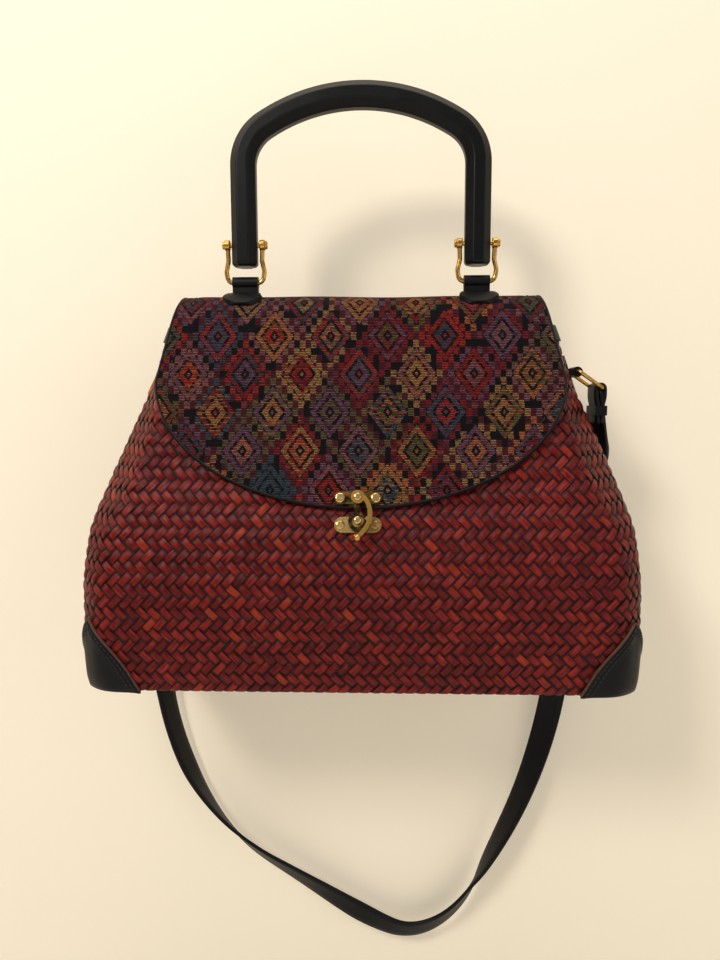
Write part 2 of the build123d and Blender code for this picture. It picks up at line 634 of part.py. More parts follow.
def side_tab(seat):
    """Leather strip on the gusset, folded round the ring's inner bar."""
    with BuildPart() as tab:
        with BuildSketch(seat):
            with BuildLine():
                Polyline(
                    (-RING_REACH + SIDE_TAB_DROP * GUSSET_LEAN + SIDE_LEATHER, -SIDE_TAB_DROP),
                    (-RING_REACH - SIDE_TAB_LIFT * GUSSET_LEAN + SIDE_LEATHER, SIDE_TAB_LIFT),
                    (-2 * RING_REACH - SIDE_TAB_LIFT * GUSSET_LEAN, SIDE_TAB_LIFT),
                    (-2 * RING_REACH + SIDE_TAB_DROP * GUSSET_LEAN, -SIDE_TAB_DROP),
                    close=True,
                )
            make_face()
            Circle(RING_ROD / 2 + RING_CLEARANCE + SIDE_LEATHER)
            Rectangle(2 * RING_REACH, 2 * SIDE_LEATHER, align=(Align.MAX, Align.CENTER))
            Circle(RING_ROD / 2 + RING_CLEARANCE, mode=Mode.SUBTRACT)
        extrude(amount=SIDE_TAB_WIDTH / 2, both=True)
        add(bag_form.part, mode=Mode.SUBTRACT)
    return tab.part.solids().sort_by(SortBy.VOLUME)[-1]


def strap_ring(seat, tilt):
    """Rounded rectangular loop of brass rod that hangs from its inner bar."""
    lean = radians(tilt)
    along = seat.x_dir * cos(lean) - Vector(0, 0, 1) * sin(lean)
    plane = Plane(origin=seat.origin, x_dir=along, z_dir=along.cross(seat.z_dir))
    half = (RING_INNER_WIDTH + RING_ROD) / 2
    with BuildPart() as ring:
        with BuildLine(plane) as loop:
            FilletPolyline(
                (0, half),
                (RING_LENGTH, half),
                (RING_LENGTH, -half),
                (0, -half),
                radius=RING_CORNER,
                close=True,
            )
        with BuildSketch(Plane(loop.line @ 0, z_dir=loop.line % 0)):
            Circle(RING_ROD / 2)
        sweep(path=loop.wire())
    return ring.part


def outer_bar(seat, tilt):
    """Middle of the ring's outer bar, which the strap is folded round."""
    lean = radians(tilt)
    return seat.origin + seat.x_dir * (RING_LENGTH * cos(lean)) - Vector(0, 0, RING_LENGTH * sin(lean))


RIGHT_SEAT = seat_plane(RIGHT_BAR, RIGHT_AZIMUTH)
LEFT_SEAT = seat_plane(LEFT_BAR, LEFT_AZIMUTH)
RIGHT_FOLD = outer_bar(RIGHT_SEAT, RIGHT_TILT)
LEFT_FOLD = outer_bar(LEFT_SEAT, LEFT_TILT)

with BuildPart() as right_side_tab:
    add(side_tab(RIGHT_SEAT))
right_side_tab.part.label = "right_side_tab"
export_step(right_side_tab.part, "parts/right_side_tab.step")

with BuildPart() as left_side_tab:
    add(side_tab(LEFT_SEAT))
left_side_tab.part.label = "left_side_tab"
export_step(left_side_tab.part, "parts/left_side_tab.step")

with BuildPart() as right_strap_ring:
    add(strap_ring(RIGHT_SEAT, RIGHT_TILT))
right_strap_ring.part.label = "right_strap_ring"
export_step(right_strap_ring.part, "parts/right_strap_ring.step")

with BuildPart() as left_strap_ring:
    add(strap_ring(LEFT_SEAT, LEFT_TILT))
left_strap_ring.part.label = "left_strap_ring"
export_step(left_strap_ring.part, "parts/left_strap_ring.step")

# Shoulder strap: folded ends, a turned length at each end and the hanging loop
FOLD_RADIUS = RING_ROD / 2 + RING_CLEARANCE


def strap_fold(seat, centre):
    """End of the strap folded round the ring's outer bar, two layers deep."""
    with BuildPart() as fold:
        with BuildSketch(Plane(origin=centre, x_dir=seat.x_dir, z_dir=seat.z_dir)):
            Circle(FOLD_RADIUS + STRAP_THICKNESS)
            Rectangle(2 * STRAP_THICKNESS, FOLD_LENGTH, align=(Align.CENTER, Align.MAX))
            Circle(FOLD_RADIUS, mode=Mode.SUBTRACT)
        extrude(amount=STRAP_WIDTH / 2, both=True)
    return fold.part


def keeper(seat, centre):
    """Leather loop that holds the two layers of the folded end together."""
    with BuildPart() as loop:
        top = centre - Vector(0, 0, KEEPER_DROP)
        with BuildSketch(Plane(origin=top, x_dir=seat.x_dir, z_dir=(0, 0, 1))):
            Rectangle(2 * STRAP_THICKNESS + 2 * KEEPER_LEATHER, STRAP_WIDTH + 2 * KEEPER_LEATHER)
            Rectangle(2 * STRAP_THICKNESS, STRAP_WIDTH, mode=Mode.SUBTRACT)
        extrude(amount=-KEEPER_HEIGHT)
    return loop.part


with BuildPart() as right_keeper:
    add(keeper(RIGHT_SEAT, RIGHT_FOLD))
right_keeper.part.label = "right_keeper"
export_step(right_keeper.part, "parts/right_keeper.step")

with BuildPart() as left_keeper:
    add(keeper(LEFT_SEAT, LEFT_FOLD))
left_keeper.part.label = "left_keeper"
export_step(left_keeper.part, "parts/left_keeper.step")

HANG = (
    (149.0, 72.0),
    (149.0, 22.0),
    (146.0, -30.0),
    (137.0, -82.0),
    (120.0, -136.0),
    (94.0, -190.0),
    (70.0, -232.0),
    (36.0, -250.0),
    (3.0, -237.0),
    (-46.0, -206.0),
    (-94.0, -173.0),
    (-126.0, -126.0),
    (-143.0, -72.0),
    (-150.0, -16.0),
    (-151.0, 33.0),
    (-150.0, 80.0),
)

# Sections of the two turned lengths, down to the loop's ends: place, height and facing
Turn = namedtuple("Turn", "x y height facing")
RIGHT_TURNS = (
    Turn(158.0, 27.0, 131.0, 45.0),
    Turn(154.0, 54.0, 108.0, 90.0),
    Turn(HANG[0][0], STRAP_PLANE, HANG[0][1], 90.0),
)
LEFT_TURNS = (
    Turn(-146.0, 50.0, 122.0, -60.0),
    Turn(HANG[-1][0], STRAP_PLANE, HANG[-1][1], -90.0),
)


def turn_plane(turn):
    """Level plane of one section of a turned length."""
    facing = radians(turn.facing)
    origin = (turn.x, turn.y, BASE_Z + turn.height)
    return Plane(origin=origin, x_dir=(cos(facing), sin(facing), 0), z_dir=(0, 0, -1))


def fold_foot(outward, centre):
    """Level plane at the lower end of a folded strap end."""
    return Plane(origin=centre - Vector(0, 0, FOLD_LENGTH), x_dir=outward, z_dir=(0, 0, -1))


def corner_radii(points):
    """Fillet radius at each inner corner: it uses 0.45 of the shorter run beside it."""
    radii = []
    for before, here, after in zip(points, points[1:], points[2:]):
        first = Vector(here[0] - before[0], here[1] - before[1])
        second = Vector(after[0] - here[0], after[1] - here[1])
        turn = first.get_angle(second)
        radii.append(0.45 * min(first.length, second.length) / tan(radians(turn) / 2))
    return radii


with BuildPart() as shoulder_strap:
    with BuildLine(Plane.XZ.offset(-STRAP_PLANE)) as route:
        FilletPolyline(*[(x, BASE_Z + height) for x, height in HANG], radius=corner_radii(HANG))
    with BuildSketch(Plane(origin=route.line @ 0, x_dir=(1, 0, 0), z_dir=route.line % 0)):
        Rectangle(STRAP_WIDTH, STRAP_THICKNESS)
    sweep(path=route.wire())
    hang_volume = shoulder_strap.part.volume
    add(strap_fold(RIGHT_SEAT, RIGHT_FOLD))
    add(strap_fold(LEFT_SEAT, LEFT_FOLD))
    with BuildSketch(fold_foot(RIGHT_SEAT.x_dir, RIGHT_FOLD)):
        Rectangle(2 * STRAP_THICKNESS, STRAP_WIDTH)
    for turn in RIGHT_TURNS:
        with BuildSketch(turn_plane(turn)):
            Rectangle(STRAP_THICKNESS, STRAP_WIDTH)
    loft()
    with BuildSketch(fold_foot(-LEFT_SEAT.x_dir, LEFT_FOLD)):
        Rectangle(2 * STRAP_THICKNESS, STRAP_WIDTH)
    for turn in LEFT_TURNS:
        with BuildSketch(turn_plane(turn)):
            Rectangle(STRAP_THICKNESS, STRAP_WIDTH)
    loft()
shoulder_strap.part.label = "shoulder_strap"
export_step(shoulder_strap.part, "parts/shoulder_strap.step")
print("strap loop length", route.wire().length, "volume check", hang_volume / (STRAP_WIDTH * STRAP_THICKNESS))
print("corner radii", [round(radius, 1) for radius in corner_radii(HANG)])
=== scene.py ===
"""Dressed scene of a woven handbag with a tapestry flap, a D-arch handle and a shoulder strap.

Sizes in the classes are millimetres in the row frame: +Z up, +X right, the front facing -Y,
and the origin under the handle's crown. Meshes are written in metres.
"""
from __future__ import annotations

import logging
import math
from dataclasses import dataclass, field
from enum import Enum
from itertools import product

import bpy
import numpy as np
from mathutils import Matrix, Vector

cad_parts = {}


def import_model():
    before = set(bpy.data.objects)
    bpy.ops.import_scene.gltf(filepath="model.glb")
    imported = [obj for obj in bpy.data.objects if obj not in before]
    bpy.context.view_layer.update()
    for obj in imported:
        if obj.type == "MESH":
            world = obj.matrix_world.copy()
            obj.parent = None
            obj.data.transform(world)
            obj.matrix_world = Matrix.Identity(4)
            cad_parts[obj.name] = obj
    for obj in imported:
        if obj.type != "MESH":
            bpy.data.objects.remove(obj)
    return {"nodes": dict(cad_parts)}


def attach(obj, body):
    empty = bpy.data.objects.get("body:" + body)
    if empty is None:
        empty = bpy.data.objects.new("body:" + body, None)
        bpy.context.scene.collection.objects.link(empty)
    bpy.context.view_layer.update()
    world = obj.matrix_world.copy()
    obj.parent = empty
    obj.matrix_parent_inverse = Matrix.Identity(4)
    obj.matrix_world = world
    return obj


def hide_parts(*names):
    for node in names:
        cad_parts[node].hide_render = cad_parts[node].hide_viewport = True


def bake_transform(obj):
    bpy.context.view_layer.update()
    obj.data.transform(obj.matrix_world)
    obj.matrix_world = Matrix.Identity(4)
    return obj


LOG = logging.getLogger("handbag")
MM = 0.001
BASE_Z = -348.0
RIDGE_Z = -112.0

# Place along a stitch, share of the thread's radius and lift in radii, from end to end
STITCH = ((0.0, 0.15, -0.25), (0.12, 0.8, 0.35), (0.5, 1.0, 0.6), (0.88, 0.8, 0.35), (1.0, 0.15, -0.25))


class Slot(str, Enum):
    """Material slot names of the record."""

    WEAVE = "dyed_weave"
    LINING = "lining_cloth"
    TAPESTRY = "tapestry"
    HORN = "black_horn_wood"
    ANTIQUE = "antique_brass"
    BRASS = "brass"
    LEATHER = "black_leather"


class Body(str, Enum):
    """Moving bodies of the record."""

    HANDLE = "handle"
    BAG = "bag"
    FLAP = "flap"


class Value:
    """A socket of a node tree with arithmetic, so that shader maths reads as maths."""

    def __init__(self, graph: "Graph", socket) -> None:
        self.graph = graph
        self.socket = socket

    def _do(self, operation: str, *others) -> "Value":
        return self.graph.math(operation, self, *others)

    def __add__(self, other) -> "Value":
        return self._do("ADD", other)

    __radd__ = __add__

    def __sub__(self, other) -> "Value":
        return self._do("SUBTRACT", other)

    def __rsub__(self, other) -> "Value":
        return self.graph.math("SUBTRACT", other, self)

    def __mul__(self, other) -> "Value":
        return self._do("MULTIPLY", other)

    __rmul__ = __mul__

    def __truediv__(self, other) -> "Value":
        return self._do("DIVIDE", other)

    def above(self, limit: float) -> "Value":
        """1 where the value is over the limit, else 0."""
        return self._do("GREATER_THAN", limit)

    def below(self, limit: float) -> "Value":
        """1 where the value is under the limit, else 0."""
        return self._do("LESS_THAN", limit)

    def wrap(self, period: float) -> "Value":
        """The value wrapped to 0..period."""
        return self._do("WRAP", period, 0.0)

    def distance(self, middle: float) -> "Value":
        """How far the value is from a middle, never negative."""
        return self.graph.math("ABSOLUTE", self - middle)


class Graph:
    """Node tree of one material."""

    def __init__(self, name: str) -> None:
        self.material = bpy.data.materials.new(name)
        self.material.use_nodes = True
        self.tree = self.material.node_tree
        self.tree.nodes.clear()
        self.output = self.tree.nodes.new("ShaderNodeOutputMaterial")

    def node(self, kind: str, **settings):
        """Add a node and set its properties.

        Args:
            kind: node type without the ShaderNode prefix.
            settings: properties of the node.

        Returns:
            The new node.
        """
        made = self.tree.nodes.new("ShaderNode" + kind)
        for key, value in settings.items():
            setattr(made, key, value)
        return made

    def feed(self, socket, value) -> None:
        """Link a Value to a socket, or write a constant into it."""
        if isinstance(value, Value):
            self.tree.links.new(value.socket, socket)
        else:
            socket.default_value = value

    def read(self, kind: str, inputs: dict, output: int = 0, **settings) -> Value:
        """Add a node, feed it and take one of its outputs.

        Args:
            kind: node type without the ShaderNode prefix.
            inputs: Values or constants, by the number or name of the socket.
            output: number of the output.
            settings: properties of the node.

        Returns:
            The output.
        """
        made = self.node(kind, **settings)
        for key, value in inputs.items():
            self.feed(made.inputs[key], value)
        return Value(self, made.outputs[output])

    def math(self, operation: str, *values) -> Value:
        """One Math node with up to three inputs, Values or numbers."""
        return self.read("Math", dict(enumerate(values)), operation=operation)

    def uv(self) -> tuple[Value, Value]:
        """The piece's UV map, which holds millimetres."""
        made = self.node("UVMap")
        split = self.node("SeparateXYZ")
        self.tree.links.new(made.outputs[0], split.inputs[0])
        return Value(self, split.outputs[0]), Value(self, split.outputs[1])

    def place(self) -> Value:
        """Object coordinates in metres."""
        return Value(self, self.node("TexCoord").outputs["Object"])

    def attribute(self, name: str) -> tuple[Value, Value, Value, Value]:
        """The four channels of a colour attribute."""
        made = self.node("Attribute", attribute_name=name)
        split = self.node("SeparateColor")
        self.tree.links.new(made.outputs["Color"], split.inputs[0])
        return tuple(Value(self, s) for s in (*split.outputs, made.outputs["Alpha"]))

    def plainly_seen(self) -> Value:
        """1 for camera, glossy and transmission rays, else 0."""
        made = self.node("LightPath")
        rays = [Value(self, made.outputs[f"Is {kind} Ray"]) for kind in ("Camera", "Glossy", "Transmission")]
        return self.math("MAXIMUM", self.math("MAXIMUM", rays[0], rays[1]), rays[2])

    def front_side(self) -> Value:
        """1 on the side that the face's normal points to, else 0."""
        return 1.0 - Value(self, self.node("NewGeometry").outputs["Backfacing"])

    def vector(self, x, y, z=0.0) -> Value:
        """A vector from three numbers or Values."""
        return self.read("CombineXYZ", {0: x, 1: y, 2: z})

    def noise(self, vector: Value, scale: float, detail: float = 3.0, rough: float = 0.5) -> Value:
        """Noise from 0 to 1."""
        inputs = {"Vector": vector, "Scale": scale, "Detail": detail, "Roughness": rough}
        return self.read("TexNoise", inputs)

    def cells(self, vector: Value, scale: float) -> Value:
        """Distance to the nearest cell point."""
        return self.read("TexVoronoi", {"Vector": vector, "Scale": scale})

    def chance(self, vector: Value) -> Value:
        """One even random number for each different vector."""
        return self.read("TexWhiteNoise", {"Vector": vector}, noise_dimensions="3D")

    def ramp(self, value: Value, stops, smooth: bool = True) -> Value:
        """Colours along a value.

        Args:
            value: place on the ramp.
            stops: pairs of place and colour.
            smooth: blends between the stops if true.

        Returns:
            The colour.
        """
        made = self.node("ValToRGB")
        made.color_ramp.interpolation = "LINEAR" if smooth else "CONSTANT"
        points = made.color_ramp.elements
        while len(points) < len(stops):
            points.new(0.5)
        for point, (at, colour) in zip(points, stops):
            point.position = at
            point.color = (*colour, 1.0)
        self.feed(made.inputs[0], value)
        return Value(self, made.outputs[0])

    def spread(self, value: Value, low: float, high: float) -> Value:
        """0 at low, 1 at high, smooth between and level outside."""
        return self.read("MapRange", {0: value, 1: low, 2: high}, interpolation_type="SMOOTHSTEP")

    def mix(self, share, first, second) -> Value:
        """Blend of two colours."""
        first, second = (c if isinstance(c, Value) else (*c, 1.0) for c in (first, second))
        return self.read("Mix", {0: share, 6: first, 7: second}, output=2, data_type="RGBA")

    def bump(self, height: Value, depth: float, strength: float = 1.0, under=None) -> Value:
        """Normal from a height map; depth is in metres."""
        inputs = {"Strength": strength, "Distance": depth, "Height": height}
        if under is not None:
            inputs["Normal"] = under
        return self.read("Bump", inputs)

    def surface(self, **inputs) -> bpy.types.Material:
        """Finish the material with one Principled shader.

        Args:
            inputs: its sockets, with underscores for spaces.

        Returns:
            The material.
        """
        shader = self.node("BsdfPrincipled")
        for key, value in inputs.items():
            if isinstance(value, tuple):
                value = (*value, 1.0)
            self.feed(shader.inputs[key.replace("_", " ")], value)
        self.tree.links.new(shader.outputs[0], self.output.inputs[0])
        return self.material


def srgb(red: float, green: float, blue: float) -> tuple[float, float, float]:
    """Linear colour from 0..255 display values."""
    channels = (red, green, blue)
    return tuple(((c / 255 + 0.055) / 1.055) ** 2.4 if c > 10 else c / 255 / 12.92 for c in channels)


@dataclass(frozen=True)
class WeaveFinish:
    """Dyed and varnished split cane; the strand attribute holds two chances, along and across."""

    deep: tuple = srgb(40, 3, 3)
    plain: tuple = srgb(102, 12, 8)
    light: tuple = srgb(172, 50, 34)
    orange: tuple = srgb(170, 58, 20)
    # painted shade: the colour that each float's ends and sides blend to where the strands dip under their
    # neighbours
    dark: tuple = srgb(12, 2, 2)
    fibre_scale: tuple = (0.12, 2.6)
    patch_scale: float = 0.25
    orange_share: float = 0.06
    # ranges of the painted shade at the floats' ends and at their sides
    end_shade_range: tuple = (0.27, 0.45)
    side_shade_range: tuple = (0.32, 0.49)
    gloss: float = 0.2
    depth: float = 0.00034

    def make(self) -> bpy.types.Material:
        """Build the material."""
        g = Graph("dyed_weave")
        strand, single, along, across = g.attribute("strand")
        u, v = g.uv()
        fine_u, fine_v = self.fibre_scale
        fibre = g.noise(g.vector(u * fine_u, v * fine_v, strand * 40.0), 1.0, 5.0, 0.68)
        patch = g.noise(g.vector(u * self.patch_scale, v * self.patch_scale, single * 60.0), 1.0, 2.0)
        tone = fibre * 0.85 + patch * 0.15 + (single - 0.5) * 0.09 + (strand - 0.5) * 0.07
        colour = g.ramp(tone, ((0.30, self.deep), (0.50, self.plain), (0.70, self.light)))
        colour = g.mix(strand.above(1.0 - self.orange_share) * single * 0.4, colour, self.orange)
        # painted shade: darken each float's ends and sides where it dips under its neighbours
        ends = g.spread(along.distance(0.5), *self.end_shade_range)
        sides = g.spread(across.distance(0.5), *self.side_shade_range)
        colour = g.mix(g.math("MAXIMUM", ends * 0.86, sides * 0.8), colour, self.dark)
        rough = 0.18 + fibre * 0.26 + ends * 0.2
        normal = g.bump(fibre, self.depth)
        return g.surface(Base_Color=colour, Roughness=rough, Normal=normal, Specular_IOR_Level=self.gloss)


@dataclass(frozen=True)
class GrainFinish:
    """Matt surface of two grained tones: the inner weave, its near-black being painted shade, cut leather,
    thread and lining cloth.
    """

    name: str
    low: tuple
    high: tuple
    scale: float = 1400.0
    detail: float = 3.0
    rough: float = 0.7
    depth: float = 0.0001
    sharp: bool = True

    def make(self) -> bpy.types.Material:
        """Build the material."""
        g = Graph(self.name)
        grain = g.noise(g.place(), self.scale, self.detail)
        share = g.spread(grain, 0.3, 0.7) if self.sharp else grain
        colour = g.mix(share, self.low, self.high)
        return g.surface(Base_Color=colour, Roughness=self.rough, Normal=g.bump(grain, self.depth))


@dataclass(frozen=True)
class LeatherFinish:
    """Smooth black leather with fine grain and worn high spots."""

    name: str = "black_leather"
    colour: tuple = srgb(8, 7, 7)
    worn: tuple = srgb(24, 22, 21)
    grain: float = 1500.0
    depth: float = 0.00009
    rough: float = 0.42

    def make(self) -> bpy.types.Material:
        """Build the material."""
        g = Graph(self.name)
        at = g.place()
        pores = g.cells(at, self.grain)
        broad = g.noise(at, 60.0, 4.0)
        fine = g.noise(at, 900.0, 3.0)
        wear = g.spread(broad * 0.7 + fine * 0.3, 0.48, 0.72)
        rough = self.rough + broad * 0.16 - pores * 0.05
        return g.surface(
            Base_Color=g.mix(wear * 0.6, self.colour, self.worn),
            Roughness=rough,
            Normal=g.bump(pores * 0.6 + fine * 0.4, self.depth, 0.8, g.bump(broad, 0.0006, 0.35)),
            Specular_IOR_Level=0.2,
        )


@dataclass(frozen=True)
class HornFinish:
    """Black polished horn-like wood with faint streaks and small scratches."""

    colour: tuple = srgb(5, 5, 5)
    streak: tuple = srgb(12, 11, 10)

    def make(self) -> bpy.types.Material:
        """Build the material."""
        g = Graph("black_horn_wood")
        at = g.place()
        streaks = g.noise(at, 70.0, 5.0, 0.65)
        scratches = g.noise(at, 1100.0, 2.0)
        return g.surface(
            Base_Color=g.mix(g.spread(streaks, 0.4, 0.75), self.colour, self.streak),
            Roughness=0.28 + streaks * 0.16 + scratches * 0.05,
            Normal=g.bump(scratches, 0.00002, 0.5, g.bump(streaks, 0.0003, 0.3)),
            Specular_IOR_Level=0.24,
        )


@dataclass(frozen=True)
class BrassFinish:
    """Brass: bright and lightly worn, or antique with dark patina."""

    name: str
    bright: tuple
    dull: tuple
    patina: float
    rough: float

    def make(self) -> bpy.types.Material:
        """Build the material."""
        g = Graph(self.name)
        at = g.place()
        broad = g.noise(at, 160.0, 5.0, 0.6)
        fine = g.noise(at, 1500.0, 3.0)
        dull = g.spread(broad * 0.85 + fine * 0.15, self.patina, self.patina + 0.22)
        return g.surface(
            Base_Color=g.mix(dull, self.bright, self.dull),
            Roughness=self.rough + dull * 0.2 + fine * 0.06,
            Metallic=1.0,
            Normal=g.bump(fine, 0.00003, 0.5, g.bump(broad, 0.0002, 0.25)),
        )


@dataclass(frozen=True)
class TapestryFinish:
    """Flat-woven cloth of stepped diamonds in millimetres; bands are a diamond's edges, outermost first."""

    half_width: float = 17.0
    half_height: float = 23.4
    steps: float = 5.0
    weft: float = 1.0
    warp: float = 0.9
    dash: float = 5.2
    bands: tuple = (0.68, 0.50, 0.38, 0.17, 0.07)
    black: tuple = srgb(12, 8, 10)
    navy: tuple = srgb(22, 18, 30)
    wine: tuple = srgb(104, 34, 44)
    palette: tuple = (
        srgb(172, 46, 32),
        srgb(104, 88, 50),
        srgb(118, 74, 92),
        srgb(186, 106, 62),
        srgb(62, 74, 82),
        srgb(138, 30, 30),
        srgb(140, 88, 88),
        srgb(166, 122, 72),
    )

    def _pick(self, g: Graph, chance: Value) -> Value:
        """One colour of the palette for an even chance."""
        share = 1.0 / len(self.palette)
        return g.ramp(chance, [(k * share, c) for k, c in enumerate(self.palette)], smooth=False)

    def make(self) -> bpy.types.Material:
        """Build the material."""
        g = Graph("tapestry")
        u, v = g.uv()
        wobble = g.noise(g.vector(u * 0.35, v * 0.35), 1.0, 2.0)
        row_noise = g.noise(g.vector(u * 0.02, v * 1.1), 1.0, 2.0)
        x = u + (wobble - 0.5) * 1.2 + (row_noise - 0.5) * 1.6
        s = v + (wobble - 0.5) * 0.9
        wide, tall = 2 * self.half_width, 2 * self.half_height
        step_x, step_s = self.half_width / self.steps, self.half_height / self.steps

        def folded(value: Value, period: float) -> Value:
            return (value + period / 2).wrap(period).distance(period / 2)

        sum_smooth = folded(x, wide) / self.half_width + folded(s, tall) / self.half_height
        first = sum_smooth.below(1.0)
        column = g.math("FLOOR", (x + self.half_width * first) / wide)
        line = g.math("FLOOR", (s + self.half_height * first) / tall)
        near = g.math("MINIMUM", sum_smooth, 2.0 - sum_smooth)

        block_x = g.math("ROUND", x / step_x)
        block_s = g.math("ROUND", s / step_s)
        sum_block = folded(block_x, 2 * self.steps) + folded(block_s, 2 * self.steps)
        ring = g.math("MINIMUM", sum_block, 2 * self.steps - sum_block)

        def own(number: float) -> Value:
            """A colour of the palette for each diamond."""
            return self._pick(g, g.chance(g.vector(column, line, first * 7.0 + number)))

        fill, core, stair, partner = own(0.0), own(3.3), own(5.7), own(9.1)
        blocks = g.chance(g.vector(block_x, block_s, 1.5))
        weft_row = g.math("FLOOR", v / self.weft)
        dash = g.math("FLOOR", u / self.dash + weft_row * 0.37)
        strand = g.chance(g.vector(dash, weft_row, 2.5))
        fill = g.mix(strand.above(0.58) * 0.75, fill, partner)
        core = g.mix(strand.below(0.35) * 0.75, core, partner)
        stair = g.mix(strand.above(0.70) * 0.7, stair, fill)

        field_edge, band_edge, core_edge, dark_edge, eye_edge = self.bands
        colour = g.mix(near.below(field_edge), self.navy, fill)
        colour = g.mix(near.below(band_edge), colour, g.mix(strand.above(0.5) * 0.5, self.black, partner))
        colour = g.mix(near.below(core_edge), colour, core)
        colour = g.mix(near.below(dark_edge), colour, self.black)
        colour = g.mix(near.below(eye_edge), colour, fill)

        between = near.above(0.70)
        squares = between * ring.above(3.5) * ring.below(4.5)
        colour = g.mix(squares, colour, self.black)
        colour = g.mix(squares * blocks.above(0.10), colour, stair)
        net = g.mix(blocks.above(0.40) * 0.75, self.black, self.wine)
        colour = g.mix(between * ring.above(4.5), colour, net)
        colour = g.mix(between * ring.below(3.5) * 0.9, colour, self.navy)
        specks = between * ring.above(1.5) * ring.below(2.5) * blocks.above(0.35)
        colour = g.mix(specks * 0.7, colour, partner)
        colour = g.mix(strand.above(0.86) * 0.45, colour, self.navy)

        beat = (v / self.weft).wrap(1.0).distance(0.5) * 2.0
        thread = g.noise(g.vector(u * 0.5, v * 0.87 / self.weft * 2.0), 1.0, 3.0)
        gap = g.spread(beat + (thread - 0.5) * 1.1, 0.24, 0.60)
        colour = g.mix(gap * 0.94, colour, self.black)
        fleck = g.noise(g.vector(u * 1.7, v * 0.9), 1.0, 2.0)
        colour = g.mix(g.spread(fleck, 0.46, 0.68) * 0.62, colour, self.black)
        warp = (u / self.warp).wrap(1.0).distance(0.5)
        height = (1.0 - beat) * 0.7 + warp * 0.5 + fleck * 0.4
        return g.surface(
            Base_Color=colour, Roughness=0.85, Normal=g.bump(height, 0.00035, 1.0), Specular_IOR_Level=0.12
        )


@dataclass(frozen=True)
class PlainFinish:
    """Matt surface of the staged floor and backdrop."""

    name: str
    colour: tuple
    glow: float = 0.22
    dust: tuple = srgb(225, 220, 212)

    def make(self) -> bpy.types.Material:
        """Build the material."""
        g = Graph(self.name)
        soft = g.noise(g.place(), 3.0, 2.0)
        return g.surface(
            Base_Color=g.mix(soft * 0.08, self.colour, self.dust),
            Roughness=0.9,
            Emission_Color=g.mix(g.plainly_seen(), (0.0, 0.0, 0.0), self.colour),
            Emission_Strength=self.glow,
            Alpha=g.front_side(),
        )


class Finishes:
    """All materials of the scene, made once."""

    def __init__(self) -> None:
        self.weave = WeaveFinish().make()
        # the shell's near-black tones are painted shade, seen in the gaps between the floats
        self.shade = GrainFinish(
            "weave_shade", srgb(16, 6, 5), srgb(34, 10, 8), 900.0, rough=0.8, depth=0.0003, sharp=False
        ).make()
        self.leather = LeatherFinish().make()
        self.strap = LeatherFinish(
            name="strap_leather", colour=srgb(6, 6, 6), worn=srgb(20, 18, 17), grain=900.0, depth=0.00014
        ).make()
        self.brown = GrainFinish("leather_edge", srgb(52, 30, 20), srgb(98, 62, 40)).make()
        self.thread = GrainFinish("black_thread", srgb(14, 13, 13), srgb(44, 40, 38)).make()
        self.horn = HornFinish().make()
        self.brass = BrassFinish("brass", srgb(214, 166, 84), srgb(112, 80, 38), 0.46, 0.22).make()
        self.antique = BrassFinish("antique_brass", srgb(126, 96, 54), srgb(36, 27, 17), 0.34, 0.30).make()
        bright, worn = srgb(240, 200, 128), srgb(146, 108, 60)
        self.polished = BrassFinish("polished_brass", bright, worn, 0.46, 0.18).make()
        self.cloth = GrainFinish(
            "lining_cloth", srgb(38, 30, 28), srgb(70, 56, 50), 1800.0, 2.0, 0.9, 0.0002, sharp=False
        ).make()
        self.tapestry = TapestryFinish().make()


def piece(name: str, points, faces, material, body: Body | None, uv=None, smooth=True):
    """Make one mesh piece from points in millimetres.

    Args:
        name: piece name.
        points: rows of x, y, z.
        faces: vertex indices of each face.
        material: its material.
        body: the body it rides on, or None to leave it unattached.
        uv: one pair for each point, in millimetres.
        smooth: shades the faces smoothly if true.

    Returns:
        The object.
    """
    mesh = bpy.data.meshes.new(name)
    mesh.from_pydata((np.asarray(points, float) * MM).tolist(), [], faces)
    if uv is not None:
        layer = mesh.uv_layers.new(name="pattern")
        index = np.empty(len(mesh.loops), dtype=np.int64)
        mesh.loops.foreach_get("vertex_index", index)
        layer.data.foreach_set("uv", np.asarray(uv, float)[index].astype(np.float32).ravel())
    mesh.polygons.foreach_set("use_smooth", [smooth] * len(mesh.polygons))
    mesh.materials.append(material)
    made = bpy.data.objects.new(name, mesh)
    bpy.context.scene.collection.objects.link(made)
    if body is not None:
        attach(made, body.value)
    return made


def unit(rows: np.ndarray) -> np.ndarray:
    """Rows scaled to length one."""
    return rows / np.maximum(np.linalg.norm(rows, axis=-1, keepdims=True), 1e-9)


def run_along(points: np.ndarray) -> np.ndarray:
    """Distance of each point from the first, along the polyline."""
    return np.concatenate([[0], np.cumsum(np.linalg.norm(np.diff(points, axis=0), axis=1))])


def rows_at(at: np.ndarray, run: np.ndarray, rows: np.ndarray) -> np.ndarray:
    """Rows of numbers looked up at places of a run, column by column."""
    return np.stack([np.interp(at, run, rows[:, k]) for k in range(rows.shape[1])], axis=1)


def even_path(points, spacing: float) -> np.ndarray:
    """The polyline through points, resampled at an even spacing."""
    points = np.asarray(points, float)
    run = run_along(points)
    count = max(2, int(round(run[-1] / spacing)) + 1)
    return rows_at(np.linspace(0, run[-1], count), run, points)


def softened(points: np.ndarray, passes: int) -> np.ndarray:
    """A smoothed copy of a polyline, its ends kept."""
    points = points.copy()
    for _ in range(passes):
        points[1:-1] = 0.25 * points[:-2] + 0.5 * points[1:-1] + 0.25 * points[2:]
    return points


def grid_faces(rows: int, columns: int, closed: bool = False) -> list:
    """Quads of a grid of rows times columns points; closed joins the last column to the first."""
    faces = []
    last = columns if closed else columns - 1
    for r in range(rows - 1):
        for c in range(last):
            d = (c + 1) % columns
            faces.append((r * columns + c, r * columns + d, (r + 1) * columns + d, (r + 1) * columns + c))
    return faces


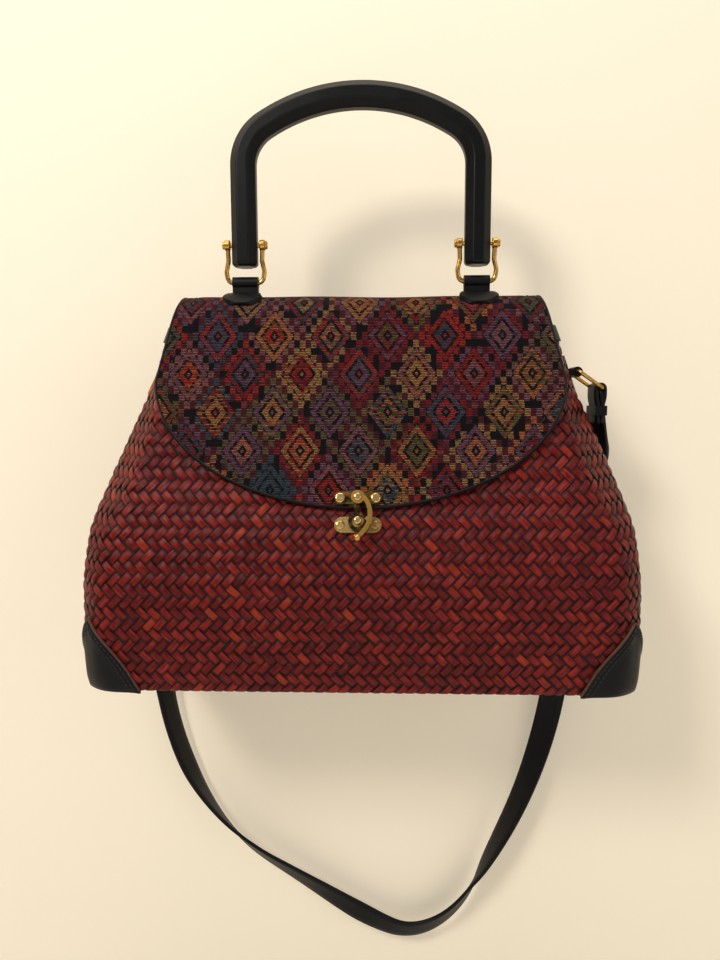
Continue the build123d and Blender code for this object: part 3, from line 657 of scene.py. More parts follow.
def sweep(path: np.ndarray, wide: np.ndarray, up: np.ndarray, section: np.ndarray):
    """Sweep a closed section along a path.

    Args:
        path: points of the middle line.
        wide: unit vectors across, one for each point.
        up: unit vectors out of the section's flat side.
        section: rows of the section's across and up measures.

    Returns:
        Points and faces, the ends closed.
    """
    sides = len(section)
    rings = path[:, None, :] + wide[:, None, :] * section[None, :, :1] + up[:, None, :] * section[None, :, 1:]
    faces = grid_faces(len(path), sides, closed=True)
    faces.append(tuple(range(sides))[::-1])
    end = (len(path) - 1) * sides
    faces.append(tuple(range(end, end + sides)))
    return rings.reshape(-1, 3), faces


def oval(wide: float, tall: float, sides: int = 8) -> np.ndarray:
    """Section points of an oval."""
    turn = np.linspace(0, 2 * math.pi, sides, endpoint=False)
    return np.stack([wide * np.cos(turn), tall * np.sin(turn)], axis=1)


def shifted(faces: list, start: int) -> list:
    """Faces whose vertex indices begin at start."""
    return [tuple(start + i for i in face) for face in faces]


def seam(path: np.ndarray, out: np.ndarray, pitch: float, length: float, radius: float):
    """Stitches along a path.

    Args:
        path: line of the seam.
        out: outward unit vectors of the path's points.
        pitch: distance from stitch to stitch.
        length: visible length of a stitch.
        radius: thread radius.

    Returns:
        Points and faces of all the stitches.
    """
    run = run_along(path)
    points, faces = [], []
    rings, sides = len(STITCH), 6
    places = np.array([place for place, _, _ in STITCH])
    for k in range(int(run[-1] / pitch)):
        at = pitch * (k + 0.5) + places * length
        if at[-1] > run[-1]:
            break
        middle = rows_at(at, run, path)
        up = unit(rows_at(at, run, out))
        along = unit(middle[-1:] - middle[:1])
        wide = unit(np.cross(np.repeat(along, rings, axis=0), up))
        faces += shifted(grid_faces(rings, sides, closed=True), len(points) * sides)
        for j, (_, share, lift) in enumerate(STITCH):
            ring = oval(radius * share, radius * share * 0.8, sides)
            points.append(middle[j] + up[j] * (lift * radius) + wide[j] * ring[:, :1] + up[j] * ring[:, 1:])
    return np.concatenate(points), faces


@dataclass(frozen=True)
class Level:
    """Half sizes of the bag at one height."""

    height: float
    panel_width: float
    gusset_width: float
    panel_depth: float
    gusset_depth: float


@dataclass
class BagForm:
    """Outer form of the bag as a surface of (u, h): u runs along the outline from the middle of
    the front or rear panel to the middle of the gusset, and h is the height over the base."""

    levels: tuple = (
        Level(0.0, 150.0, 164.0, 57.0, 46.5),
        Level(6.0, 151.5, 165.0, 58.5, 47.5),
        Level(32.0, 152.0, 165.7, 61.0, 49.0),
        Level(64.0, 152.0, 166.0, 62.0, 48.0),
        Level(96.0, 146.0, 163.0, 57.0, 42.0),
        Level(124.0, 132.0, 156.0, 46.0, 22.0),
        Level(152.0, 124.0, 145.0, 37.0, 13.0),
        Level(181.0, 118.0, 131.0, 29.0, 9.5),
        Level(215.0, 113.0, 120.0, 18.0, 8.0),
    )
    corner: float = 13.0
    step: float = 1.0
    top: float = 215.0
    probe: float = 1.5
    heights: np.ndarray = field(init=False)
    table: np.ndarray = field(init=False)
    length: np.ndarray = field(init=False)

    def __post_init__(self) -> None:
        self.heights = np.arange(0.0, self.top + 0.1, self.step)
        quarters = [self._quarter(h) for h in self.heights]
        self.length = np.array([q[1] for q in quarters])
        reach = int(self.length.max() / self.step) + 2
        at = np.arange(reach) * self.step
        self.table = np.zeros((len(self.heights), reach, 2))
        for row, (points, _) in enumerate(quarters):
            self.table[row] = rows_at(at, run_along(points), points)

    def _sizes(self, h: float) -> np.ndarray:
        """Half sizes at a height, rounded where two levels meet."""
        known = np.array([level.height for level in self.levels])
        reach = min(9.0, 0.5 * h, self.top - h)
        spots = h + np.linspace(-reach, reach, 7)
        names = ("panel_width", "gusset_width", "panel_depth", "gusset_depth")
        columns = [[getattr(level, name) for level in self.levels] for name in names]
        return np.array([np.interp(spots, known, column).mean() for column in columns])

    def _quarter(self, h: float) -> tuple[np.ndarray, float]:
        """Outline from the front middle (0, depth) to the gusset middle (width, 0), corners rounded."""
        pw, gw, pd, gd = self._sizes(h)
        corners = [np.array(p) for p in ((0.0, pd), (pw, pd), (gw, gd), (gw, 0.0))]
        points = [corners[0]]
        for before, here, after in zip(corners, corners[1:], corners[2:]):
            a, b = unit(before - here), unit(after - here)
            sides = (np.linalg.norm(after - here), np.linalg.norm(before - here))
            cut = min(self.corner * 0.55, 0.45 * sides[0], 0.45 * sides[1])
            first, last = here + a * cut, here + b * cut
            for t in np.linspace(0, 1, 7):
                points.append((1 - t) ** 2 * first + 2 * t * (1 - t) * here + t * t * last)
        points.append(corners[-1])
        points = np.array(points)
        return points, float(np.linalg.norm(np.diff(points, axis=0), axis=1).sum())

    def _plain(self, u: np.ndarray, h: np.ndarray) -> np.ndarray:
        """Points of the positive quarter for arrays of u and h."""
        row = np.clip(h / self.step, 0, len(self.heights) - 1.001)
        limit = np.interp(h, self.heights, self.length)
        column = np.clip(np.minimum(u, limit) / self.step, 0, self.table.shape[1] - 1.001)
        r, c = row.astype(int), column.astype(int)
        fr, fc = (row - r)[..., None], (column - c)[..., None]
        low = self.table[r, c] * (1 - fc) + self.table[r, c + 1] * fc
        high = self.table[r + 1, c] * (1 - fc) + self.table[r + 1, c + 1] * fc
        return low * (1 - fr) + high * fr

    def at(self, u, h, side: int = -1, out: float = 0.0) -> tuple[np.ndarray, np.ndarray]:
        """Points and outward normals.

        Args:
            u: signed distance along the outline from the panel's middle, positive to +X.
            h: height over the base.
            side: -1 for the front half, 1 for the rear half.
            out: distance outward.

        Returns:
            Points and normals in the row frame.
        """
        u, h = np.broadcast_arrays(np.asarray(u, float), np.asarray(h, float))
        limit = np.interp(h, self.heights, self.length)
        clipped = np.clip(np.abs(u), 0.0, limit)
        after, before = np.minimum(clipped + 1.0, limit), np.maximum(clipped - 1.0, 0)
        ahead = self._plain(after, h) - self._plain(before, h)
        above, below = np.minimum(h + self.probe, self.top), np.maximum(h - self.probe, 0)
        rise = self._plain(clipped, above) - self._plain(clipped, below)
        flat = self._plain(clipped, h)
        tangent = unit(ahead)
        outward = np.stack([-tangent[..., 1], tangent[..., 0]], axis=-1)
        slope = -(rise * outward).sum(axis=-1) / (2 * self.probe)
        normal = unit(np.concatenate([outward, slope[..., None]], axis=-1))
        point = np.concatenate([flat, (BASE_Z + h)[..., None]], axis=-1)
        flip = np.stack(np.broadcast_arrays(np.where(u < 0, -1.0, 1.0), float(side), 1.0), axis=-1)
        return (point + normal * out) * flip, normal * flip

    def u_of_x(self, x: float, h: float) -> float:
        """Distance along the outline at which it is x wide."""
        row = self.table[int(round(min(max(h, 0), self.top) / self.step))]
        return float(np.interp(x, row[:, 0], np.arange(len(row)) * self.step))


@dataclass
class WovenBody:
    """The basket shell: every visible float of its diagonal two-over-two twill is a crowned patch
    over a dark shell painted near-black as the shade between the floats, on the front, rear, gussets and
    base."""

    form: BagForm
    finishes: Finishes
    pitch: float = 4.7
    crown: float = 1.35
    sink: float = 0.75
    share: float = 0.475
    top: float = 212.0
    overlap: float = 0.05
    uneven_place: tuple = (0.04, 0.05)
    uneven_width: float = 0.03
    uneven_lift: float = 0.14
    uneven_tilt: float = 0.10
    base_reach: tuple = (146.0, 46.0)
    base_gap: float = 0.2
    inner_gap: float = 0.7
    ring_points: int = 61
    along_steps: int = 6
    across_steps: int = 3

    def _lattice(self, reach_u: float, low: float, high: float) -> np.ndarray:
        """Start cell and direction of each float that shows between two heights."""
        scale = math.sqrt(2) * self.pitch
        cells = []
        lowest = int(math.floor((-reach_u - high) / scale)) - 2
        highest = int(math.ceil((reach_u + high) / scale)) + 2
        for i in range(lowest, highest):
            for j in range(lowest, highest):
                kind = (i - j) % 4
                if kind not in (0, 3):
                    continue
                p, q = (i + 1.0, j + 0.5) if kind == 0 else (i + 0.5, j + 1.0)
                u, v = (p + q) * scale / 2, (p - q) * scale / 2
                if low - 4 < v < high + 4 and abs(u) < reach_u + 4:
                    cells.append((i, j, 0 if kind == 0 else 1))
        return np.array(cells)

    def _patches(self, cells: np.ndarray, chance: np.random.Generator):
        """Lattice coordinates of every float's grid points.

        Args:
            cells: start cells and directions.
            chance: seeded random numbers.

        Returns:
            u, v, along, across and lift arrays, one row for each float.
        """
        t = np.linspace(0, 1, self.along_steps)
        a = np.linspace(-1, 1, self.across_steps + 1)
        along, across = (m.ravel() for m in np.meshgrid(t, a, indexing="ij"))

        def each(spread: float) -> np.ndarray:
            """One random number of the spread for every float."""
            return chance.normal(0, spread, (len(cells), 1))

        shift, skew = self.uneven_place
        wander = each(shift) + each(skew) * (along - 0.5)
        wide = self.share * (0.94 + 0.06 * np.sin(math.pi * along)) * (1 + each(self.uneven_width))
        run = 2 * ((1 + 2 * self.overlap) * along - self.overlap)
        offset = 0.5 + wide * across + wander
        first = cells[:, 2:3] == 0
        p = cells[:, :1] + np.where(first, run, offset)
        q = cells[:, 1:2] + np.where(first, offset, run)
        scale = self.pitch / math.sqrt(2)
        arch = np.sin(math.pi * np.clip(0.03 + 0.94 * along, 0, 1)) ** 0.8
        lift = arch * (1 - 0.30 * across**4 - 0.08 * across**2) * self.crown - self.sink
        lift = lift * (1 + each(self.uneven_lift))
        lift = lift + each(self.uneven_tilt) * across
        lift = lift + each(self.uneven_tilt) * (along - 0.5)
        return (p + q) * scale, (p - q) * scale, along, across, lift

    def _floats(self, name: str, place, cells: np.ndarray, seed: int):
        """Make one piece of many floats.

        Args:
            name: piece name.
            place: gives the points for arrays of u, v and lift.
            cells: start cells and directions.
            seed: seed of the random numbers.

        Returns:
            The object, with the strand attribute.
        """
        chance = np.random.default_rng(seed)
        u, v, along, across, lift = self._patches(cells, chance)
        points = place(u, v, lift)
        faces = []
        shape = grid_faces(self.along_steps, self.across_steps + 1)
        for k in range(len(cells)):
            faces += shifted(shape, k * u.shape[1])
        strand_index = np.where(cells[:, 2] == 0, cells[:, 1], cells[:, 0] + 5000)
        strand = np.array([np.random.default_rng(int(s) + 9000).random() for s in strand_index])
        single = chance.random((len(cells), 1))
        channels = np.broadcast_arrays(strand[:, None], single, along, across * 0.5 + 0.5)
        data = np.stack(channels, axis=-1).reshape(-1, 4)
        start = (cells[:, 0] + cells[:, 1])[:, None] * self.pitch
        pattern = np.broadcast_arrays(start + along * 2 * self.pitch, across * self.pitch / 2)
        uv = np.stack(pattern, axis=-1).reshape(-1, 2)
        made = piece(name, points.reshape(-1, 3), faces, self.finishes.weave, Body.BAG, uv=uv)
        layer = made.data.attributes.new("strand", "FLOAT_COLOR", "POINT")
        layer.data.foreach_set("color", data.astype(np.float32).ravel())
        return made

    def _middles(self, cells: np.ndarray) -> tuple[np.ndarray, np.ndarray]:
        """u and h of each float's middle."""
        scale = self.pitch / math.sqrt(2)
        return (cells[:, 0] + cells[:, 1] + 1.5) * scale, (cells[:, 0] - cells[:, 1]) * scale

    def _wall(self, name: str, side: int, seed: int) -> None:
        """Floats of the front or rear half of the wall."""
        cells = self._lattice(float(self.form.length.max()), 0.0, self.top)
        mid_u, mid_h = self._middles(cells)
        edge = np.interp(np.clip(mid_h, 0, self.top), self.form.heights, self.form.length)

        def lay(u, v, lift):
            point, normal = self.form.at(u, np.clip(v, 0.0, self.top), side)
            return point + normal * lift[..., None]

        self._floats(name, lay, cells[np.abs(mid_u) < edge + 1.5], seed)

    def _base(self, name: str, seed: int) -> None:
        """Floats of the flat base."""
        reach_x, reach_y = self.base_reach
        cells = self._lattice(reach_x + 4.0, -reach_y - 2.0, reach_y + 2.0)
        mid_x, mid_y = self._middles(cells)

        def lay(u, v, lift):
            return np.stack([u, v, BASE_Z - lift + self.base_gap], axis=-1)

        self._floats(name, lay, cells[(np.abs(mid_x) < reach_x) & (np.abs(mid_y) < reach_y)], seed)

    def _shell(self) -> tuple[np.ndarray, list]:
        """Points and faces of the dark shell, turned in at its mouth and closed at its base."""
        rows = np.concatenate([[0.0, 3.0], np.arange(6.0, self.top + 1, 5.0)])
        share = np.linspace(-1, 1, self.ring_points)
        rings = []
        for h in rows:
            edge = float(np.interp(h, self.form.heights, self.form.length))
            level = np.full(self.ring_points, h)
            front, _ = self.form.at(share * edge, level, -1, -self.inner_gap)
            rear, _ = self.form.at(share[::-1] * edge, level, 1, -self.inner_gap)
            rings.append(np.concatenate([front[:-1], rear[:-1]]))
        count = 2 * (self.ring_points - 1)
        faces = grid_faces(len(rows), count, closed=True)
        inner = [ring * np.array([0.985, 0.95, 1.0]) for ring in rings[::-1]][:3]
        start, rim = len(rows) * count, (len(rows) - 1) * count
        faces += shifted(grid_faces(len(inner), count, closed=True), start)
        for c in range(count):
            d = (c + 1) % count
            faces.append((rim + c, rim + d, start + d, start + c))
        faces.append(tuple(range(count))[::-1])
        return np.concatenate([*rings, *inner]), faces

    def build(self) -> None:
        """Build the shell and its floats; the shell stands for the CAD body."""
        self._wall("woven_front", -1, 11)
        self._wall("woven_rear", 1, 23)
        self._base("woven_base", 31)
        points, faces = self._shell()
        # the dark shell's colour is painted shade between the floats
        shell = piece("woven_shell", points, faces, self.finishes.shade, Body.BAG)
        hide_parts("woven_body")


@dataclass
class FlapCover:
    """Tapestry flap on a black backing: sewn strip behind, over the ridge, and down the front.

    A stitch is given by its pitch, length and thread radius; the hinge points are in metres."""

    finishes: Finishes
    thickness: float = 3.4
    top_width: float = 219.0
    width: float = 243.0
    curve_height: float = 182.0
    curve_drop: float = 72.5
    ridge_radius: float = 24.4
    rear_height: float = 166.0
    rear_line: tuple = ((38.5, 152.0), (30.5, 181.0))
    front_line: tuple = ((-31.9, 181.0), (-39.9, 152.0), (-48.9, 124.0), (-59.9, 96.0))
    rim: float = 1.1
    seam_inset: float = 6.5
    pattern_height: float = 186.0
    wave: tuple = (0.35, 0.25)
    wave_runs: tuple = (31.0, 23.0, 13.0, 17.0)
    stitch: tuple = (3.6, 2.7, 0.42)
    thread_sink: float = 0.35
    hinge_start: tuple = (0, -0.0125, -0.1165)
    hinge_end: tuple = (0, -0.0240, -0.1185)
    pucker: float = 0.45
    eased: float = 0.4
    columns: int = 61

    def _profile(self) -> np.ndarray:
        """Middle line in the YZ plane from the rear strip's lower edge to below the front tip."""
        radius = self.ridge_radius - self.thickness / 2
        centre = RIDGE_Z - self.ridge_radius
        turn = np.radians(np.arange(-72, 73, 6))
        arc = [(-radius * math.sin(a), centre + radius * math.cos(a)) for a in turn]
        rear, front = ([(y, BASE_Z + h) for y, h in line] for line in (self.rear_line, self.front_line))
        return softened(even_path([*rear, *arc, *front], 1.5), 24)

    def _half_width(self, h: float, front: bool) -> float:
        """Half width of the flap at a height over the base."""
        if not front:
            return self.top_width / 2
        if h >= self.curve_height:
            share = (h - self.curve_height) / (RIDGE_Z - BASE_Z - self.curve_height)
            return (self.width + (self.top_width - self.width) * share) / 2
        drop = (self.curve_height - h) / self.curve_drop
        return self.width / 2 * math.sqrt(max(0.0, 1 - drop * drop))

    def _rows(self) -> tuple[np.ndarray, np.ndarray, np.ndarray, np.ndarray]:
        """Row middles in YZ, their outward normals, half widths and arc lengths."""
        line = self._profile()
        run = run_along(line)
        top = int(np.argmax(line[:, 1]))
        height = line[:, 1] - BASE_Z
        rear_start = float(np.interp(self.rear_height, height[:top], run[:top]))
        curve = float(np.interp(-self.curve_height, -height[top:], run[top:]))
        drops = self.curve_drop * np.sin(np.linspace(0, math.pi / 2, 34))[1:]
        lower = np.interp(-(self.curve_height - drops), -height[top:], run[top:])
        spots = np.concatenate([np.linspace(rear_start, curve, 72), lower])
        middle = rows_at(spots, run, line)
        along = unit(rows_at(spots + 0.8, run, line) - rows_at(spots - 0.8, run, line))
        normal = np.stack([along[:, 1], -along[:, 0]], axis=1)
        widths = np.array([self._half_width(m[1] - BASE_Z, s > run[top]) for m, s in zip(middle, spots)])
        zero = float(np.interp(-self.pattern_height, -height[top:], run[top:]))
        return middle, normal, widths, spots - zero

    def _edge_line(self, inset: float):
        """Outline of the whole flap moved inward by inset, with outward normals of its surface.

        It runs down the left side and up the right, so its left-hand normal points outward."""
        middle, normal, widths, run = self._rows()
        flat = np.stack([np.concatenate([-widths, widths[::-1]]), np.concatenate([run, run[::-1]])], axis=1)
        keep = np.concatenate([[True], np.linalg.norm(np.diff(flat, axis=0), axis=1) > 0.05])
        flat = even_path(flat[keep], 1.2)
        if inset:
            along = unit(np.gradient(flat, axis=0))
            flat = flat - inset * np.stack([-along[:, 1], along[:, 0]], axis=1)
        clipped = np.clip(flat[:, 1], run[0], run[-1])
        points = np.concatenate([flat[:, :1], rows_at(clipped, run, middle)], axis=1)
        out = np.concatenate([np.zeros((len(flat), 1)), rows_at(clipped, run, normal)], axis=1)
        return points, unit(out)

    def _blend(self, made) -> None:
        """Bake the piece's transform into its mesh."""
        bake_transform(made)

    def _surface(self, name: str, out: np.ndarray, material, flip: bool):
        """One face of the flap at a distance out of its middle, its transform baked."""
        middle, normal, _, run = self._rows()
        x = self._across()
        yz = middle[:, None, :] + normal[:, None, :] * out[..., None]
        points = np.concatenate([x[..., None], yz], axis=-1)
        uv = np.stack(np.broadcast_arrays(x, run[:, None]), axis=-1)
        faces = [face[::-1] if flip else face for face in grid_faces(*x.shape)]
        made = piece(name, points.reshape(-1, 3), faces, material, None, uv=uv.reshape(-1, 2))
        self._blend(made)
        return made

    def _across(self) -> np.ndarray:
        """x of every point of the flap's grid, closer together at the edges."""
        ends = np.linspace(-1, 1, self.columns)
        share = np.sin(ends * math.pi / 2) * 0.35 + ends * 0.65
        return self._rows()[2][:, None] * share

    def build(self) -> None:
        """Build cloth, backing, rim and stitches."""
        _, _, widths, run = self._rows()
        x, run = self._across(), run[:, None]
        inset = np.minimum(widths[:, None] - np.abs(x), run[-1] - run)
        long_x, long_run, short_x, short_run = self.wave_runs
        long_wave, short_wave = np.sin(x / long_x + run / long_run), np.sin(x / short_x - run / short_run)
        wave = self.wave[0] * long_wave + self.wave[1] * short_wave
        pucker = -self.pucker * np.exp(-(((inset - self.seam_inset) / 1.8) ** 2))
        crown = np.clip(inset / 4.0, 0, 1) ** 0.5 * self.eased - self.eased
        half = self.thickness / 2
        out = half + wave * np.clip(inset / 12, 0, 1) + pucker + crown
        cloth = self._surface("flap_tapestry", out, self.finishes.tapestry, True)
        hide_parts("flap_cloth", "flap_ridge")
        out = np.full(x.shape, -half)
        lining = self._surface("flap_lining", out, self.finishes.leather, False)
        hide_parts("flap_backing")
        path, out = (np.concatenate([rows, rows[:1]]) for rows in self._edge_line(0.0))
        wide = unit(np.cross(unit(np.gradient(path, axis=0)), out))
        points, faces = sweep(path, wide, out, oval(self.rim, half + 0.25, 10))
        self._blend(piece("flap_rim", points, faces, self.finishes.leather, None))
        path, out = self._edge_line(self.seam_inset)
        points, faces = seam(path + out * (half - self.thread_sink), out, *self.stitch)
        self._blend(piece("flap_stitches", points, faces, self.finishes.thread, None))


@dataclass
class CornerCaps:
    """Moulded leather on the four lower corners, with a double-stitched hem and a raw brown edge."""

    finishes: Finishes
    form: BagForm
    front_run: float = 28.0
    side_run: float = 27.0
    rise: float = 44.0
    power: float = 1.5
    leather: float = 1.9
    panel_edge: tuple = ((0.0, 149.0), (6.0, 150.5), (32.0, 152.0), (64.0, 152.0))
    past_edge: float = 8.0
    foot: tuple = ((0.06, 0.9), (0.3, 1.7), (0.65, 1.7), (1.0, 0.4))
    seams: tuple = (2.4, 5.2)
    stitch: tuple = (2.9, 2.2, 0.36)
    thread_lift: float = 0.25
    rows: int = 26
    columns: int = 33

    def _middle(self, h: float) -> float:
        """Distance along the outline of the corner's middle."""
        heights, widths = zip(*self.panel_edge)
        return self.form.u_of_x(float(np.interp(h, heights, widths)), h) + self.past_edge

    def _reach(self, h: float, inset: float) -> float:
        """Share of the full run that the cap reaches at a height."""
        return max(0.0, 1 - (h / (self.rise - inset)) ** self.power)

    def _edge(self, inset: float) -> np.ndarray:
        """Rows of u and h along the cap's edge, moved inward by inset, from front to side."""
        top = self.rise - inset
        heights = top * np.sin(np.linspace(0, math.pi / 2, 40))
        front = [(self._middle(h) - (self.front_run - inset) * self._reach(h, inset), h) for h in heights]
        side = [(self._middle(h) + (self.side_run - inset) * self._reach(h, inset), h) for h in heights[::-1]]
        return softened(even_path(front + side[1:], 0.8), 10)

    def _shell(self, side_x: int, side_y: int):
        """Points and faces of the leather: the wall part and its turned-in base."""
        edge = self._edge(0.0)
        heights = self.rise * 0.985 * np.sin(np.linspace(0, math.pi / 2, self.rows))
        share = np.linspace(0, 1, self.columns)
        spots = []
        for h in heights:
            middle, reach = self._middle(h), self._reach(h, 0.0)
            start = middle - self.front_run * reach
            spots.append([(start + (self.front_run + self.side_run) * reach * t, h) for t in share])
        flat = np.array(spots).reshape(-1, 2)
        gap = np.sqrt(((flat[:, None, :] - edge[None, :, :]) ** 2).sum(axis=2)).min(axis=1)
        out = self.leather * np.clip(gap / 1.3, 0.0, 1.0) ** 0.5
        hem = 0.25 * np.clip(1 - gap / 6.2, 0, 1) ** 0.25
        point, normal = self.form.at(flat[:, 0] * side_x, flat[:, 1], side_y)
        wall = point + normal * (out + hem)[:, None]
        faces = grid_faces(self.rows, self.columns)
        foot = wall[: self.columns]
        inner = foot[0] + (foot[-1] - foot[0]) * share[:, None]
        centre = np.array([foot[0][0], foot[-1][1]])
        inner[:, :2] += (centre - inner[:, :2]) * (0.55 * np.sin(math.pi * share))[:, None]
        under, start = [], len(wall)
        for part, drop in self.foot:
            ring = foot + (inner - foot) * part
            ring[:, 2] = BASE_Z - drop
            under.append(ring)
        faces += [(c + 1, c, start + c, start + c + 1) for c in range(self.columns - 1)]
        faces += shifted([face[::-1] for face in grid_faces(len(self.foot), self.columns)], start)
        if side_x * side_y > 0:
            faces = [f[::-1] for f in faces]
        return np.concatenate([wall, *under]), faces

    def build(self) -> None:
        """Build the four caps in place of the CAD shells."""
        ends = (("front", -1), ("rear", 1))
        sides = (("left", -1), ("right", 1))
        for (end, side_y), (side, side_x) in product(ends, sides):
            node = f"corner_{end}_{side}"
            points, faces = self._shell(side_x, side_y)
            cap = piece(node + "_cap", points, faces, self.finishes.leather, Body.BAG)
            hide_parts(node)
            line = self._edge(0.1)
            path, out = self.form.at(line[:, 0] * side_x, line[:, 1], side_y, self.leather * 0.5)
            wide = unit(np.cross(unit(np.gradient(path, axis=0)), out))
            points, faces = sweep(path, wide, out, oval(0.7, self.leather * 0.55, 8))
            piece(node + "_edge", points, faces, self.finishes.brown, Body.BAG)
            blocks, faces, start = [], [], 0
            height = self.leather + self.thread_lift
            for inset in self.seams:
                line = self._edge(inset)
                path, out = self.form.at(line[:, 0] * side_x, line[:, 1], side_y, height)
                points, more = seam(path, out, *self.stitch)
                blocks.append(points)
                faces += shifted(more, start)
                start += len(points)
            points = np.concatenate(blocks)
            piece(node + "_stitches", points, faces, self.finishes.thread, Body.BAG)


@dataclass
class ShoulderStrap:
    """Flat leather strap that hangs behind the bag in one loop with two turns over.

    The route's points are x and height over the base, with y where it leaves the hanging plane.
    The turns are the angle of the flat side, in degrees, at places that run evenly along the strap."""

    finishes: Finishes
    width: float = 18.0
    thickness: float = 2.4
    eased_edge: float = 0.5
    plane: float = 66.5
    bar: float = 1.25
    fold_length: float = 22.0
    fold_shoulder: float = 6.0
    fold_pinch: float = 11.0
    fold_gap: float = 0.02
    right_fold: tuple = (149.25, 0.0, -169.98)
    left_fold: tuple = (-136.75, 28.37, -173.33)
    right_azimuth: float = 0.0
    left_azimuth: float = 144.0
    right_turns: tuple = ((158.0, 27.0, 131.0), (154.0, 54.0, 108.0))
    left_turns: tuple = ((-146.0, 50.0, 122.0),)
    hang: tuple = (
        (149.0, 72.0), (149.0, 22.0), (146.0, -30.0), (137.0, -82.0), (120.0, -136.0), (94.0, -190.0),
        (70.0, -232.0), (36.0, -250.0), (3.0, -237.0), (-46.0, -206.0), (-97.0, -175.0),
        (-132.0, -128.0), (-151.0, -74.0), (-157.0, -18.0), (-156.0, 33.0), (-150.0, 80.0),
    )  # fmt: skip
    turns: tuple = (
        (-110.0, 90.0), (-62.0, 45.0), (-38.0, 0.0), (118.0, 0.0), (151.0, 26.0), (202.0, 50.0),
        (253.0, 70.0), (285.0, 90.0), (305.0, 119.0), (356.0, 151.0), (407.0, 168.0), (458.0, 145.0),
        (510.0, 128.0), (561.0, 94.0), (587.0, 74.0), (650.0, 66.0), (724.0, 0.0), (800.0, 0.0),
        (830.0, 30.0), (880.0, 54.0),
    )  # fmt: skip

    def _route(self) -> list:
        """Control points from the right fold's foot to the left fold's foot."""
        drops = (self.bar, self.fold_length)
        right, left = ([(x, y, z - drop) for drop in drops] for x, y, z in (self.right_fold, self.left_fold))
        hung = [(x, self.plane, h) for x, h in self.hang]
        between = [(x, y, BASE_Z + h) for x, y, h in (*self.right_turns, *hung, *self.left_turns)]
        return [*right, *between, *left[::-1]]

    def _line(self) -> np.ndarray:
        """Points of the smooth spline led by the route, in millimetres."""
        curve = bpy.data.curves.new("strap_route", "CURVE")
        curve.dimensions = "3D"
        curve.resolution_u = 16
        spline = curve.splines.new("NURBS")
        route = self._route()
        spline.points.add(len(route) - 1)
        for point, place in zip(spline.points, route):
            point.co = (place[0] * MM, place[1] * MM, place[2] * MM, 1.0)
        spline.order_u = 3
        spline.use_endpoint_u = True
        holder = bpy.data.objects.new("strap_route", curve)
        bpy.context.scene.collection.objects.link(holder)
        bpy.context.view_layer.update()
        read = bpy.data.meshes.new_from_object(holder)
        points = np.array([v.co for v in read.vertices]) / MM
        bpy.data.objects.remove(holder)
        bpy.data.curves.remove(curve)
        bpy.data.meshes.remove(read)
        return points

    def _fold(self, name: str, centre, azimuth: float):
        """Strap end folded round a ring's outer bar."""
        outward = np.array([math.cos(math.radians(azimuth)), math.sin(math.radians(azimuth)), 0.0])
        across = np.array([outward[1], -outward[0], 0.0])
        middle = self.bar + self.thickness / 2
        turn = np.radians(np.linspace(0, 180, 13))
        bend = [(middle * math.cos(a), middle * math.sin(a)) for a in turn]
        gap = self.thickness / 2 + self.fold_gap
        leg = [(gap, -self.fold_length), (gap, -self.fold_pinch), (middle, -self.fold_shoulder)]
        line = [*leg, *bend, *[(-off, drop) for off, drop in leg[::-1]]]
        line = softened(even_path(line, 1.0), 3)
        path = np.array(centre) + line[:, :1] * outward + line[:, 1:] * np.array([0.0, 0.0, 1.0])
        wide = np.repeat(across[None, :], len(path), axis=0)
        up = unit(np.cross(unit(np.gradient(path, axis=0)), wide))
        points, faces = sweep(path, wide, up, self._section())
        return piece(name, points, faces, self.finishes.strap, Body.BAG)

    def _section(self) -> np.ndarray:
        """Flat section with eased edges and a slight crown."""
        half, edge, cut = self.width / 2, self.thickness / 2, self.eased_edge
        corner = [(-half, -edge + cut), (-half + cut, -edge), (-half * 0.5, -edge * 1.03)]
        lower = [*corner, (0, -edge * 1.05), *[(-x, y) for x, y in corner[::-1]]]
        return np.array([*lower, *[(x, -y) for x, y in lower[::-1]]])

    def build(self) -> None:
        line = even_path(self._line(), 2.5)
        run = run_along(line)
        places, degrees = zip(*self.turns)
        at = places[0] + run / run[-1] * (places[-1] - places[0])
        angle = np.radians(np.interp(at, places, degrees))
        angle = softened(angle[:, None], 16)[:, 0]
        along = unit(np.gradient(line, axis=0))
        facing = np.array([0.0, 1.0, 0.0])
        level = unit(facing - along * (along @ facing)[:, None])
        side = np.cross(along, level)
        up = level * np.cos(angle)[:, None] + side * np.sin(angle)[:, None]
        wide = unit(np.cross(up, along))
        points, faces = sweep(line, wide, up, self._section())
        strap = piece("strap_loop", points, faces, self.finishes.strap, Body.BAG)
        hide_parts("shoulder_strap")
        right = self._fold("strap_fold_right", self.right_fold, self.right_azimuth)
        left = self._fold("strap_fold_left", self.left_fold, self.left_azimuth)
        LOG.info("strap length %.1f mm", run[-1])


@dataclass
class RigidNodes:
    """CAD nodes that keep their shape and take a finish."""

    finishes: Finishes

    def build(self) -> None:
        """Assign the materials."""
        f = self.finishes
        polished = ("upper_rivets", "pivot_rivet", "lower_plate", "lower_rivets", "post")
        nodes = {"handle": f.horn, "lining": f.cloth, "rim_binding": f.leather}
        nodes |= {"clasp_upper_plate": f.antique, "clasp_lever": f.brass}
        nodes |= {f"clasp_{part}": f.polished for part in polished}
        paired = {"keeper": f.strap, "tab": f.leather, "side_tab": f.leather}
        paired |= {part: f.brass for part in ("shackle", "shackle_pin", "strap_ring")}
        for side, (part, finish) in product(("left", "right"), paired.items()):
            nodes[f"{side}_{part}"] = finish
        for node, material in nodes.items():
            made = bpy.data.objects[node]
            if not made.material_slots:
                made.data.materials.append(material)
            for slot in made.material_slots:
                slot.material = material


